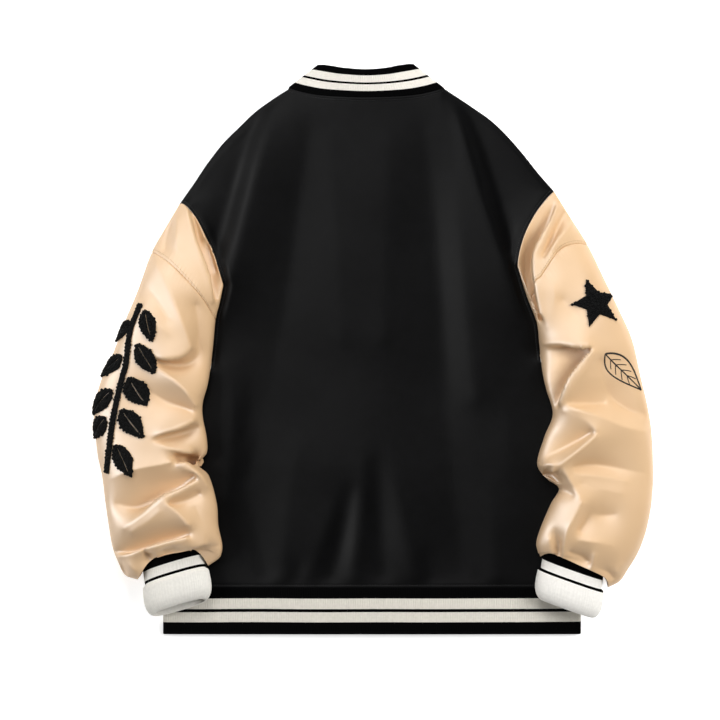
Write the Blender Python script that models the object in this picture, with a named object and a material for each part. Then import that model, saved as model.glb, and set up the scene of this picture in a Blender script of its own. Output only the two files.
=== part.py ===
"""A varsity jacket laid flat on its front, so that its back is up.

Lengths in the tables are millimetres. X runs across the jacket, +Y towards the neck and +Z up from
the surface that it lies on, with the origin there, under the middle of the jacket and on the line
that the front closes along. "Left" is the wearer's left, which is at -X.
"""

import bmesh
import bpy
import numpy as np
from mathutils import Matrix, Vector

MM = 0.001

# Thicknesses and gaps
CLOTH = 2.2  # body wall
LEATHER = 1.8  # sleeve wall
RIB = 3.0  # doubled knit of hem and collar
SEAM = 0.35  # between neighbouring pieces
LAID = 2.2  # least air between a sleeve and the body under it

# Body
HEM_SEAM_Y = -309.0  # where the hem rib is sewn on
HEM_EDGE_Y = -369.0
HEM_CROWN = 12.4  # top of the hem rib's back at the middle
HEM_DROP = 3.6  # how much lower it is at the sides
HEM_HALF_WIDTH = 272.0
PLATEAU = 15.0  # height of the back away from its edges
HEM_SINK = 4.0  # how much lower the back is near the hem
SINK_START_Y = -150.0  # where it begins to be lower
SINK_LENGTH = 150.0
EDGE_CALM = 12.0  # distance from an edge in which the creases fade
SWELL = 26.0  # distance from an edge in which the back rises to its height
EDGE_BLEND = 6.0  # distance over which the heights of an edge run into each other
PLACKET = 15.0  # how far each front passes the centre line
PLACKET_LIFT = 2.0  # room under the placket for the snap caps
PLACKET_EDGE = 38.0  # distance from the centre line within which a front is lifted, and
PLACKET_SLOPE = 24.0  # the distance in which it comes down from there
SNAP_COUNT = 7
LOWEST_SNAP_Y = -285.0
HIGHEST_SNAP_Y = 240.0
SNAP_RADIUS = 7.5
SNAP_DEPTH = 1.4

# Side seam from the hem up to the underarm: x, y, height of the back's edge
LEFT_SIDE = (
    (-271, -309, 8.8),
    (-283, -276, 5.2),
    (-289, -221, 5.2),
    (-291, -169, 5.2),
    (-287, -117, 5.2),
    (-275, -81, 5.2),
    (-254, -56, 5.2),
    (-230, -42, 5.5),
)
RIGHT_SIDE = (
    (272, -309, 8.8),
    (284, -276, 5.2),
    (291, -221, 5.2),
    (292, -169, 5.2),
    (288, -117, 5.2),
    (278, -84, 5.2),
    (262, -58, 5.2),
    (241, -37, 5.5),
)

# Shoulder seam from the sleeve up to the neck: x, y, height of the back's edge
LEFT_SHOULDER = (
    (-249, 190, 5.4),
    (-230, 217, 5.6),
    (-214, 241, 5.4),
    (-193, 268, 5.4),
    (-172, 289, 5.4),
    (-151, 309, 5.6),
    (-129, 325, 6.2),
    (-107, 339, 8),
)
RIGHT_SHOULDER = (
    (237, 206, 5.4),
    (216, 230, 5.6),
    (197, 254, 5.4),
    (176, 278, 5.4),
    (155, 298, 5.4),
    (131, 315, 5.6),
    (110, 329, 6.2),
    (93, 340, 8),
)

# Collar from the left front round the back to the right front: the seam's x, y, z and the free edge's
COLLAR = (
    (15, 262, 0, 12, 302, 0),
    (-20, 266, 0, -14, 307, 0),
    (-52, 280, 0, -36, 319, 0),
    (-80, 303, 0, -53, 338, 0),
    (-98, 327, 0, -62, 359, 0),
    (-106, 339, 1.6, -67, 369, 1.6),
    (-108, 341, 5.0, -69, 371, 5.0),
    (-105, 339.5, 8.6, -66, 371, 8.6),
    (-92, 335.5, 10.5, -58, 370, 11),
    (-70, 331, 12.5, -47, 368, 14),
    (-40, 328.5, 15.5, -34, 365.5, 19),
    (-7, 327.5, 17, -8, 363.5, 21),
    (26, 328.5, 15.5, 17, 365.5, 19),
    (56, 331, 12.5, 33, 369, 14),
    (78, 335.5, 10.5, 44, 371, 11),
    (91, 339.5, 8.6, 51, 372, 8.6),
    (94, 341, 5.0, 54, 372, 5.0),
    (92, 339, 1.6, 52, 370, 1.6),
    (84, 327, 0, 47, 360, 0),
    (66, 303, 0, 38, 340, 0),
    (42, 280, 1.4, 24, 321, 1.4),
    (14, 266, 4.7, 4, 309, 4.7),
    (-15, 262, 4.7, -12, 304, 4.7),
)
COLLAR_TURNS = (6, 16)  # rows of that table at the two ends of the back

# Sleeve from the armhole to the cuff: the two folds of the laid sleeve, how far a row bows back, the
# share of the way across where it does so most and how flat the bow is (2 is a parabola), and the
# heights of the row's middle, of its outer fold and of the two edges along the inner one.
# outer x, outer y, inner x, inner y, bow, peak, flat, crown, outer_z, top_z, low_z
LEFT_SLEEVE = (
    (-249, 190, -192, 84, 10, 0.32, 2, 18, 5.4, 18, 0),
    (-267, 159, -197, 60, 11, 0.36, 2.2, 28, 9, 17, 0),
    (-285, 126, -202, 40, 9, 0.42, 2.5, 38, 14, 15, 0),
    (-302, 78, -205, 10, 4, 0.5, 3, 46, 18, 12, 0),
    (-318, 39, -208, -16, 1, 0.5, 3, 50, 20, 10, 0),
    (-335, -6, -212, -45, 0, 0.5, 3, 54, 22, 25, 25),
    (-350, -40, -218, -68, 0, 0.5, 3, 56, 23, 29, 29),
    (-359, -78, -218, -87, 0, 0.5, 3, 57, 23, 30, 30),
    (-357, -111, -213, -113, 0, 0.5, 3, 57, 23, 30, 30),
    (-354, -137, -213, -133, 0, 0.5, 3, 56, 23, 30, 30),
    (-351, -151, -224, -148, 0, 0.5, 3, 56, 23, 30, 30),
    (-348, -166, -210, -163, 0, 0.5, 3, 57, 23, 30, 30),
    (-344, -198, -200, -198, 0, 0.5, 3, 58, 23, 30, 30),
    (-340, -226, -198, -226, 1, 0.5, 3, 57, 23, 30, 30),
    (-335, -255, -193, -251, 4, 0.5, 3, 54, 23, 29, 29),
    (-328, -274, -194, -263, 10, 0.5, 5, 50, 23, 28, 28),
    (-319, -291, -198, -270, 18, 0.55, 5, 48, 23, 27, 27),
    (-303, -297, -202, -276, 26, 0.6, 5, 48, 24, 26, 26),
)
RIGHT_SLEEVE = (
    (237, 206, 189, 109, 10, 0.5, 2, 18, 5.4, 18, 0),
    (258, 172, 201, 70, 16, 0.45, 2.5, 28, 9, 17, 0),
    (280, 136, 214, 36, 22, 0.44, 3.2, 38, 14, 15, 0),
    (302, 90, 217, 13, 16, 0.45, 3.2, 46, 18, 12, 0),
    (320, 52, 219, -6, 8, 0.5, 3, 50, 20, 10, 0),
    (337, 13, 222, -34, 0, 0.5, 3, 54, 22, 25, 25),
    (348, -35, 226, -52, 0, 0.5, 3, 56, 23, 29, 29),
    (357, -74, 234, -83, 0, 0.5, 3, 57, 23, 30, 30),
    (362, -107, 223, -113, 0, 0.5, 3, 57, 23, 30, 30),
    (364, -146, 214, -147, 0, 0.5, 3, 57, 23, 30, 30),
    (364, -169, 226, -166, 0, 0.5, 3, 56, 23, 30, 30),
    (363, -186, 242, -179, 0, 0.5, 3, 56, 23, 30, 30),
    (361, -205, 232, -198, 0, 0.5, 3, 57, 23, 30, 30),
    (354, -237, 219, -228, 1, 0.5, 3, 57, 23, 30, 30),
    (344, -263, 213, -248, 4, 0.5, 3, 54, 23, 29, 29),
    (332, -283, 215, -261, 5, 0.5, 6, 50, 23, 28, 28),
    (321, -299, 217, -264, 8, 0.5, 7, 48, 23, 27, 27),
    (306, -307, 218, -267, 11, 0.5, 9, 48, 24, 26, 26),
)
DOME = 3.3  # 2 would be an ellipse, more is flatter on top
CROSS_SEAM = 2  # row where the sleeve's cap is joined
LIFT_ROW = 3.5  # row from where the sleeve's underside rises off the surface
UNDERARM = 4.35  # row where the armhole ends and the sleeve lies over the body
FLOOR_CORNER = 16.0  # radius of the sleeve's lower corners
BESIDE_BODY = 16.0  # distance in which a sleeve comes down beside the body
# Places round the sleeve as turns from the outer fold, 0, to the inner one, pi
LOW_TURNS = np.pi * np.array([1.0, 0.9, 0.78, 0.62, 0.45, 0.3, 0.17, 0.07, 0.0])
TOP_TURNS = np.pi * np.linspace(0, 1, 16)
ARMHOLE_ROWS = 8
LOWER_ROWS = 27

# Creases, crests and troughs alike: each a line of x, y and rise above the plain form. The cloth is
# stretched from line to line.
BODY_CREASES = (
    ((-127, 320, 2), (-140, 276, 7), (-158, 208, 9), (-174, 143, 10), (-187, 91, 9), (-198, 42, 4)),
    ((-142, 320, -2), (-161, 270, -5), (-179, 208, -8), (-197, 146, -8), (-205, 114, -5)),
    ((105, 320, 2), (120, 276, 7), (141, 208, 9), (162, 143, 10), (177, 91, 9), (192, 42, 4)),
    ((120, 322, -2), (140, 270, -5), (161, 208, -8), (181, 146, -8), (189, 114, -5)),
    ((-77, 296, -1), (-93, 195, -3), (-111, 65, -4), (-137, -65, -4), (-161, -169, -3)),
    ((68, 296, -1), (79, 195, -4), (89, 65, -6), (97, -65, -5), (105, -169, -4), (118, -289, -3)),
    ((-54, 273, 2), (-44, 143, 3), (-38, 13, 3)),
    ((21, 273, 2), (19, 143, 3), (14, 13, 3)),
    ((105, 312, 2), (112, 195, 4), (123, 65, 5), (136, -65, 4)),
    ((-7, -104, 1), (-12, -182, 4), (-20, -260, 5), (-24, -302, 2)),
    ((19, -117, 1), (36, -195, 4), (51, -273, 4), (59, -302, 2)),
    ((-41, -179, 1), (-59, -234, 4), (-81, -292, 3)),
    ((7, -143, 0), (11, -221, -3), (16, -296, -3)),
    ((-28, -182, -1), (-40, -247, -3), (-53, -299, -3)),
    ((-93, -117, 1), (-106, -195, 3), (-114, -273, 2)),
    ((-168, -166, -2), (-153, -234, -4), (-137, -299, -3)),
    ((-192, -13, 1), (-181, -91, 4), (-189, -195, 3)),
    ((-163, 0, -1), (-155, -65, -4), (-163, -117, -2)),
    ((183, -13, 1), (175, -117, 3), (185, -221, 3)),
    ((154, -169, 2), (159, -247, 3), (162, -299, 2)),
    ((-112, -273, 1), (-116, -303, 2)),
    ((-96, -281, -1), (-98, -304, -2)),
    ((73, -268, -1), (79, -304, -2)),
    ((138, -276, -1), (136, -304, -2)),
)
LEFT_CREASES = (
    (
        (-240, 187, 4), (-233, 162, 10), (-227, 136, 13),
        (-218, 108, 13), (-210, 84, 11), (-205, 62, 7),
    ),
    (
        (-236, 187, -2), (-229, 164, -5), (-223, 138, -7),
        (-214, 109, -7), (-206, 86, -6), (-201, 66, -3),
    ),
    ((-219, 161, -5), (-209, 130, -7), (-201, 101, -6)),
    ((-259, 166, -3), (-265, 146, -5), (-267, 130, -3)),
    ((-252, 169, 5), (-252, 143, 8), (-248, 121, 7)),
    ((-278, 112, 5), (-262, 81, 10), (-248, 47, 13), (-237, 18, 14), (-233, 3, 13)),
    ((-291, 84, 1), (-275, 60, 3), (-261, 39, 7)),
    ((-301, 60, 4), (-278, 36, 10), (-257, 18, 12), (-241, 6, 13)),
    ((-280, -9, 6), (-268, -11, 11), (-252, -10, 12), (-240, -5, 12.5), (-233, 3, 13)),
    (
        (-276, -14, 1), (-265, -18, -9), (-249, -20, -13), (-235, -17, -12),
        (-224, -5, -8), (-223, 10, -6), (-224, 32, -3), (-227, 58, 0),
    ),
    ((-280, -21, 5), (-265, -31, 8), (-249, -43, 10), (-236, -56, 11), (-226, -72, 8)),
    ((-300, -36, 0), (-280, -57, -6), (-262, -68, -9), (-244, -74, -8), (-232, -79, -2)),
    ((-280, -112, 5), (-265, -105, 10), (-246, -99, 12), (-228, -90, 9)),
    ((-278, -116, 2), (-262, -112, -8), (-242, -107, -12), (-224, -99, -6)),
    ((-279, -120, 5), (-265, -125, 7), (-249, -129, 7), (-232, -130, 4)),
    ((-254, -136, -1), (-244, -139, -18), (-231, -142, -33), (-219, -144, -27)),
    ((-249, -147, 8), (-239, -150, 12), (-228, -155, 13), (-218, -164, 11), (-211, -177, 5)),
    ((-335, -166, 3), (-314, -156, 8), (-293, -151, 10), (-275, -148, 10), (-257, -144, 9)),
    (
        (-328, -198, -5), (-305, -203, -12), (-285, -196, -16),
        (-267, -187, -17), (-246, -176, -16), (-227, -162, -11),
    ),
    (
        (-319, -230, 5), (-301, -217, 8), (-283, -203, 10),
        (-267, -192, 13), (-246, -181, 10), (-224, -166, 5),
    ),
    ((-258, -198, 0), (-241, -194, -5), (-222, -185, -7)),
    ((-263, -198, 13), (-249, -209, 13), (-235, -225, 13)),
    ((-226, -203, -2), (-215, -228, 2), (-216, -247, 4)),
    ((-309, -234, 6), (-288, -221, 9), (-272, -207, 12)),
    (
        (-337, -260, -4), (-314, -260, -11), (-292, -255, -14),
        (-271, -248, -15), (-252, -243, -14), (-236, -237, -7),
    ),
    ((-330, -268, 2), (-307, -263, 6), (-281, -255, 9), (-255, -247, 11), (-236, -242, 10)),
    ((-235, -256, 4), (-223, -252, 5), (-213, -248, 4)),
    ((-232, -260, -5), (-219, -256, -7), (-207, -254, -6), (-197, -252, -3)),
    ((-288, -255, 5), (-281, -259, 6), (-274, -266, 5)),
    ((-293, -259, -3), (-288, -266, -7), (-283, -274, -6)),
    ((-267, -260, 1), (-254, -256, 1)),
    ((-317, -272, 4), (-310, -280, 5), (-304, -285, 4)),
    ((-324, -273, -1), (-322, -282, -6), (-318, -291, -6)),
)
RIGHT_CREASES = (
    (
        (240, 186, 4), (233, 168, 8), (223, 144, 11), (214, 122, 12),
        (213, 107, 12), (216, 81, 11), (220, 58, 8), (223, 36, 5),
    ),
    (
        (237, 187, -2), (230, 169, -6), (220, 146, -7), (211, 122, -8),
        (209, 105, -10), (212, 81, -13), (216, 61, -12), (220, 42, -8),
    ),
    (
        (227, 187, -1), (218, 169, -4), (207, 146, -5), (200, 124, -6),
        (199, 104, -8), (203, 81, -9), (210, 61, -9), (216, 42, -5),
    ),
    ((250, 179, -3), (240, 156, -6), (231, 136, -4), (222, 121, 4)),
    ((262, 164, 4), (245, 148, 7), (232, 131, 8), (223, 116, 9)),
    ((270, 146, -1), (253, 136, 0), (240, 125, 2)),
    ((224, 99, 8), (235, 75, 9), (233, 52, 7), (226, 29, 5)),
    ((245, 65, 3), (265, 46, 3)),
    ((222, 8, 6), (240, 8, 10), (261, 6, 14), (281, 5, 14)),
    ((223, 1, 2), (240, 1, -5), (261, 1, -10), (276, 0, -12)),
    ((281, -4, -13), (270, -20, -15), (256, -39, -14), (244, -58, -10), (238, -72, -4)),
    ((284, -1, 13), (274, -18, 14), (259, -38, 14), (248, -57, 12), (241, -70, 9)),
    ((294, -13, 1), (300, -39, -6), (310, -62, -12), (331, -77, -11), (352, -84, -5)),
    ((254, -68, 3), (278, -69, -5), (300, -68, -10)),
    ((252, -74, 8), (271, -79, 10), (297, -87, 9), (323, -98, 6), (352, -105, 2)),
    ((246, -78, 8), (263, -84, 11), (278, -94, 11), (287, -101, 12)),
    ((229, -125, -3), (248, -116, -9), (265, -108, -11), (281, -104, -5)),
    ((222, -144, 5), (235, -136, 9), (253, -127, 13), (271, -120, 15), (287, -110, 15)),
    (
        (250, -146, 0), (265, -146, -7), (284, -147, -10),
        (304, -150, -9), (330, -155, -5), (353, -159, -2),
    ),
    ((253, -153, 4), (271, -155, 2), (297, -159, 0), (330, -168, 0)),
    ((268, -172, 4), (291, -178, 2), (323, -185, 1)),
    ((220, -150, 6), (228, -147, 9), (236, -148, 10)),
    ((223, -160, -12), (232, -162, -15), (241, -170, -9)),
    ((246, -153, 8), (254, -166, 9), (262, -181, 9), (268, -191, 11)),
    ((235, -195, 1), (248, -182, 1), (258, -187, 4)),
    ((270, -195, 12), (262, -212, 12), (253, -229, 11), (248, -247, 9), (246, -268, 5)),
    ((274, -199, 0), (267, -217, -8), (258, -234, -9), (252, -251, -5)),
    ((279, -211, -5), (297, -213, -8), (313, -212, -5)),
    ((262, -244, 4), (284, -247, 6), (310, -252, 3)),
    ((255, -260, -2), (270, -266, -5), (279, -273, -5)),
    ((287, -263, 5), (285, -273, 5), (283, -282, 3)),
    ((235, -230, 1), (239, -246, -6), (241, -263, -6)),
    ((228, -243, 6), (232, -263, 4)),
    ((292, -282, 0), (304, -286, -5), (311, -294, -5)),
    ((323, -276, 3), (315, -286, 2)),
)
SKIN_STEPS = (16, 8, 4)  # rasters that the stretched skin is worked out on
SKIN_ROUNDS = 90
SKIN_SOFT = 1  # rounds of smoothing at the end
SKIN_MARGIN = 20.0
CLEAR = 6.0  # least height of a sleeve's top over its underside
MOST_OF_ROW = 0.75  # how far an edge may move towards the next row for the seam

# Cuff tube along its axis: distance from its start inside the sleeve, how far its outside stands out
CUFF_PROFILE = (
    (0, 0),
    (20, 1.0),
    (32, 1.0),
    (35, 4.2),
    (48, 5.4),
    (61, 4.4),
    (68.5, 1.0),
    (72.5, -3.0),
)
CUFF_WALL = 3.0
CUFF_SIDES = 24
CUFF_HALF_DEPTH = 12.0
CUFF_MID_Z = 27.5
CUFF_SQUARE = 0.8  # 1 is an ellipse, less is squarer
# side, x and y of the start, x and y of the mouth, tilt of its rings in degrees, half width, how far
# the top of a ring lies back
LEFT_CUFF = (-1, -258, -262, -248, -333, 16.5, 40, 4.5)
RIGHT_CUFF = (1, 263, -264, 252, -334, 19.5, 40.5, -1.5)

# Chenille on the sleeves, placed by millimetres along the sleeve and round it from the outer fold
PILE = 4.0  # its thickness
PILE_GAP = 1.8  # from the leather's facets to its back
# The sprig's stem on the left sleeve: along, round
STEM = (
    (146, 34),
    (190, 35),
    (240, 43),
    (290, 47),
    (335, 39),
    (378, 27),
)
STEM_WIDTH = 8.0
# Its leaves: along, round, lean in degrees from the sleeve's run, length, width
SPRIG_LEAVES = (
    (150, 44, 34, 42, 25),
    (172, 28, -34, 38, 21),
    (196, 48, 46, 46, 28),
    (218, 32, -34, 42, 24),
    (244, 52, 42, 52, 32),
    (266, 37, -34, 44, 26),
    (292, 55, 36, 48, 30),
    (304, 35, -42, 38, 24),
    (340, 46, 20, 46, 27),
)
STAR_ALONG = 164.0
STAR_ROUND = 47.0
STAR_RADIUS = 32.0
STAR_NOTCH = 0.46  # inner radius as a share of the outer
STAR_TURN = 8.0  # degrees

BLACK_FLEECE = ("black_fleece", (0.012, 0.012, 0.014), 0.9, 0.0)
TAN_LEATHER = ("tan_leather", (0.80, 0.58, 0.38), 0.42, 0.0)
RIB_KNIT = ("rib_knit", (0.80, 0.77, 0.70), 0.85, 0.0)
BLACK_CHENILLE = ("black_chenille", (0.01, 0.01, 0.01), 0.95, 0.0)
SNAP_METAL = ("snap_metal", (0.60, 0.58, 0.55), 0.3, 1.0)


def clear_scene():
    for item in list(bpy.data.objects):
        bpy.data.objects.remove(item)


def material_of(finish):
    name, colour, roughness, metallic = finish
    if name in bpy.data.materials:
        return bpy.data.materials[name]
    material = bpy.data.materials.new(name)
    material.use_nodes = True
    shader = material.node_tree.nodes["Principled BSDF"]
    shader.inputs["Base Color"].default_value = (*colour, 1)
    shader.inputs["Roughness"].default_value = roughness
    shader.inputs["Metallic"].default_value = metallic
    return material


def add_piece(name, shape, finish):
    bmesh.ops.recalc_face_normals(shape, faces=shape.faces[:])
    if shape.calc_volume(signed=True) < 0:
        bmesh.ops.reverse_faces(shape, faces=shape.faces[:])
    mesh = bpy.data.meshes.new(name)
    shape.to_mesh(mesh)
    shape.free()
    mesh.shade_smooth()
    mesh.materials.append(material_of(finish))
    piece = bpy.data.objects.new(name, mesh)
    bpy.context.scene.collection.objects.link(piece)


def thicken(shape):
    """Gives the flat shape a second layer at z = 1, closed round the edge."""
    lifted = bmesh.ops.extrude_face_region(shape, geom=shape.faces[:])
    upper = [item for item in lifted["geom"] if isinstance(item, bmesh.types.BMVert)]
    bmesh.ops.translate(shape, vec=(0, 0, 1), verts=upper)


def wall(name, outside, inside, finish, tube=False):
    """One closed solid between two grids of points in millimetres, each rows x columns x 3."""
    rows, columns = outside.shape[:2]
    shape = bmesh.new()
    bmesh.ops.create_grid(shape, x_segments=columns - 1, y_segments=rows - 1, size=0.5)
    thicken(shape)
    if tube:
        rims = [face for face in shape.faces if min(abs(v.co.x) for v in face.verts) > 0.4999]
        bmesh.ops.delete(shape, geom=rims, context="FACES_ONLY")
    for vertex in shape.verts:
        column = round((vertex.co.x + 0.5) * (columns - 1))
        row = round((vertex.co.y + 0.5) * (rows - 1))
        grid = outside if vertex.co.z > 0.5 else inside
        vertex.co = grid[row, column] * MM
    if tube:
        bmesh.ops.remove_doubles(shape, verts=shape.verts[:], dist=1e-6)
    add_piece(name, shape, finish)


def spline(table, at):
    """The rows of a table as one smooth curve, read at these row numbers."""
    rows = np.array(table, float)
    slopes = np.gradient(rows, axis=0)
    at = np.clip(np.asarray(at, float), 0, len(rows) - 1)
    first = np.minimum(at.astype(int), len(rows) - 2)
    s = (at - first)[..., None]
    start = rows[first] * (1 + 2 * s) * (1 - s) ** 2 + slopes[first] * s * (1 - s) ** 2
    end = rows[first + 1] * s**2 * (3 - 2 * s) - slopes[first + 1] * s**2 * (1 - s)
    return start + end


def evenly(table, count):
    """Points at equal distances along the curve through a table's rows."""
    numbers = np.linspace(0, len(table) - 1, 20 * len(table))
    points = spline(table, numbers)
    length = np.append(0, np.cumsum(np.linalg.norm(np.diff(points[:, :2], axis=0), axis=1)))
    return spline(table, np.interp(np.linspace(0, length[-1], count), length, numbers))


def normals(grid):
    """Unit normals of a grid of points, on the side where columns cross rows."""
    across = np.cross(np.gradient(grid, axis=1), np.gradient(grid, axis=0))
    return across / np.linalg.norm(across, axis=2, keepdims=True)


def dense(table):
    """Many points along the smooth curve through a table's rows."""
    return spline(table, np.linspace(0, len(table) - 1, 60 * len(table)))


class Skin:
    """Rises of a skin that is stretched between crease lines and a rim without rise."""

    def __init__(self, creases, rim):
        rim = np.insert(rim, 2, 0, axis=1)
        spots = np.concatenate([rim] + [dense(line) for line in creases])
        self.corner = spots[:, :2].min(axis=0) - SKIN_MARGIN
        self.size = spots[:, :2].max(axis=0) + SKIN_MARGIN - self.corner
        self.step = SKIN_STEPS[0]
        self.rises = np.zeros(np.ceil(self.size / self.step).astype(int) + 1)
        for step in SKIN_STEPS:
            self.refine(step)
            self.stretch(spots)
        for _ in range(SKIN_SOFT):
            self.rises = 0.5 * self.rises + 0.5 * self.around()

    def refine(self, step):
        """Moves the rises to a finer raster."""
        count = tuple(np.ceil(self.size / step).astype(int) + 1)
        x, y = (self.corner[axis] + step * np.arange(count[axis]) for axis in (0, 1))
        self.rises = self.at(*np.meshgrid(x, y, indexing="ij"))
        self.step = step

    def around(self):
        """Mean of each place's four neighbours."""
        padded = np.pad(self.rises, 1, mode="edge")
        beside = padded[:-2, 1:-1] + padded[2:, 1:-1]
        return (beside + padded[1:-1, :-2] + padded[1:-1, 2:]) / 4

    def stretch(self, spots):
        """Lets the skin settle with its lines and its rim held."""
        cells = np.round((spots[:, :2] - self.corner) / self.step).astype(int)
        flat = np.ravel_multi_index(cells.T, self.rises.shape)
        held = np.bincount(flat, minlength=self.rises.size).reshape(self.rises.shape)
        total = np.bincount(flat, spots[:, 2], self.rises.size).reshape(self.rises.shape)
        for _ in range(SKIN_ROUNDS):
            self.rises = np.where(held > 0, total / np.maximum(held, 1), self.around())

    def at(self, x, y):
        """The rises at these places."""
        last = np.array(self.rises.shape) - 1.001
        i, j = (
            np.clip((place - self.corner[axis]) / self.step, 0, last[axis])
            for axis, place in enumerate((x, y))
        )
        row, column = i.astype(int), j.astype(int)
        i, j = i - row, j - column
        near = self.rises[row, column] * (1 - j) + self.rises[row, column + 1] * j
        far = self.rises[row + 1, column] * (1 - j) + self.rises[row + 1, column + 1] * j
        return near * (1 - i) + far * i


def edge_distance(line, x, y):
    """Distance from these places to a line of points, and the line's third column at the nearest."""
    starts, ends = line[:-1], line[1:]
    step = (ends - starts)[:, :2]
    place = np.stack([x, y], axis=-1)[..., None, :]
    share = ((place - starts[:, :2]) * step).sum(-1) / (step**2).sum(-1)
    share = np.clip(share, 0, 1)
    near = starts[:, :2] + share[..., None] * step
    distance = np.linalg.norm(place - near, axis=-1)
    pick = np.argmin(distance, axis=-1)[..., None]
    height = starts[:, 2] + share * (ends - starts)[:, 2]
    return (np.take_along_axis(a, pick, -1)[..., 0] for a in (distance, height))


def inside_outline(line, x, y):
    """True where a place is inside the closed line of points."""
    result = np.zeros(np.shape(x), bool)
    for (x1, y1), (x2, y2) in zip(line[:, :2], np.roll(line[:, :2], -1, axis=0)):
        if y1 != y2:
            crosses = (y1 > y) != (y2 > y)
            result ^= crosses & (x < x1 + (y - y1) * (x2 - x1) / (y2 - y1))
    return result


def round_edge(share):
    """Quarter circle: 1 at the edge, 0 from one radius in."""
    return 1 - np.sqrt(1 - (1 - np.clip(share, 0, 1)) ** 2)


class Sleeve:
    """A laid sleeve: its rows run from the armhole to the cuff, its columns from the underarm seam
    along the surface it lies on, round the outer fold and back over the top."""

    def __init__(self, side, table, creases):
        self.side = side
        self.table = table
        self.skin = Skin(creases, self.rim())

    def rim(self):
        """Places along the laid sleeve's two folds and its armhole."""
        folds = self.plan(np.linspace(0, len(self.table) - 1, 900), np.array([0, np.pi]))[:2]
        armhole = self.plan(np.array([0.0]), np.linspace(0, np.pi, 250))[:2]
        x, y = (np.concatenate([fold.ravel(), end.ravel()]) for fold, end in zip(folds, armhole))
        return np.stack([x, y], axis=1)

    def plan(self, rows, turns):
        """x, y, the share of the way across, the width and the row's values, at each row and turn."""
        values = spline(self.table, rows)[:, None, :]
        outer, inner = values[..., 0:2], values[..., 2:4]
        bow, peak, flat = values[..., 4], values[..., 5], values[..., 6]
        span = inner - outer
        width = np.linalg.norm(span, axis=-1)
        share = (1 - np.cos(turns)) / 2 + 0 * width
        back = np.stack([-span[..., 1], span[..., 0]], axis=-1) * -self.side / width[..., None]
        place = outer + span * share[..., None]
        bent = 1 - np.abs(1 - 2 * share ** (np.log(0.5) / np.log(peak))) ** flat
        place = place + back * (bow * bent)[..., None]
        return place[..., 0], place[..., 1], share, width, values

    def top(self, rows, turns, floor=0.0):
        """The upper layer: a flat dome with creases, which stays clear of the floor under it."""
        x, y, share, _, values = self.plan(rows, turns)
        crown, outer_z, top_z = values[..., 7], values[..., 8], values[..., 9]
        closed = rows[:, None] >= UNDERARM
        side_z = outer_z + (top_z + closed * SEAM / 2 - outer_z) * share
        dome = np.clip(1 - np.abs(1 - 2 * share) ** DOME, 0, 1) ** (1 / DOME)
        rise = crown - (outer_z + top_z) / 2  # of the dome over the line between its edges
        z = side_z + rise * dome + self.skin.at(x, y) * np.clip(2 * dome - 0.3, 0, 1)
        z = np.maximum(z, floor + CLEAR * np.clip(3 * dome - 0.5, 0, 1))
        return np.stack([x, y, z], axis=-1)

    def low(self, rows, turns, body):
        """The under layer: it lies on the surface or on the body and is round at its folds."""
        x, y, share, width, values = self.plan(rows, turns)
        outer_z, low_z = values[..., 8], values[..., 10]
        lift = np.clip((rows[:, None] - LIFT_ROW) / (UNDERARM - LIFT_ROW), 0, 1)
        rest = body.rest(x, y) * lift**2 * (3 - 2 * lift)
        low_z = np.maximum(low_z - SEAM / 2, rest)
        z = rest + (outer_z - rest) * round_edge(share * width / np.minimum(outer_z, FLOOR_CORNER))
        z += (low_z - rest) * round_edge((1 - share) * width / FLOOR_CORNER)
        return np.stack([x, y, np.maximum(z, 0)], axis=-1)

    def grid(self, rows, body):
        """The sleeve's outside and inside, all round."""
        low = self.low(rows, LOW_TURNS, body)
        top = self.top(rows, TOP_TURNS, self.low(rows, TOP_TURNS, body)[..., 2])
        outside = np.concatenate([low[:, :-1], top], axis=1)
        facing = normals(outside) * self.side
        facing[0] = clear_of_seam(facing[0], outside[0], outside[1])
        for edge, near in ((0, 1), (-1, -2)):
            facing[:, edge] = clear_of_seam(facing[:, edge], outside[:, edge], outside[:, near])
        return outside, outside - facing * LEATHER

    def armhole(self, rows):
        """The rim that the back is cut to: over the top of row 0 and down the inner edge."""
        across = self.top(rows[:1], TOP_TURNS)[0]
        down = self.top(rows, TOP_TURNS[-1:])[1:, 0]
        return np.concatenate([across, down])


def clear_of_seam(facing, rim, near):
    """Turns a wall's facing at its rim so that its thickness doesn't reach over the seam there."""
    along = np.gradient(rim, axis=0)
    across = np.stack([along[:, 1], -along[:, 0], 0 * along[:, 0]], axis=1)
    across /= np.linalg.norm(across, axis=1, keepdims=True)
    across *= np.sign(np.sum(across * (rim - near), axis=1, keepdims=True))
    return facing - across * np.minimum(np.sum(facing * across, axis=1, keepdims=True), 0)


def hem_height(x):
    """Top of the hem rib's back, where the back panel meets it."""
    return HEM_CROWN - HEM_DROP * (x / HEM_HALF_WIDTH) ** 2


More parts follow.
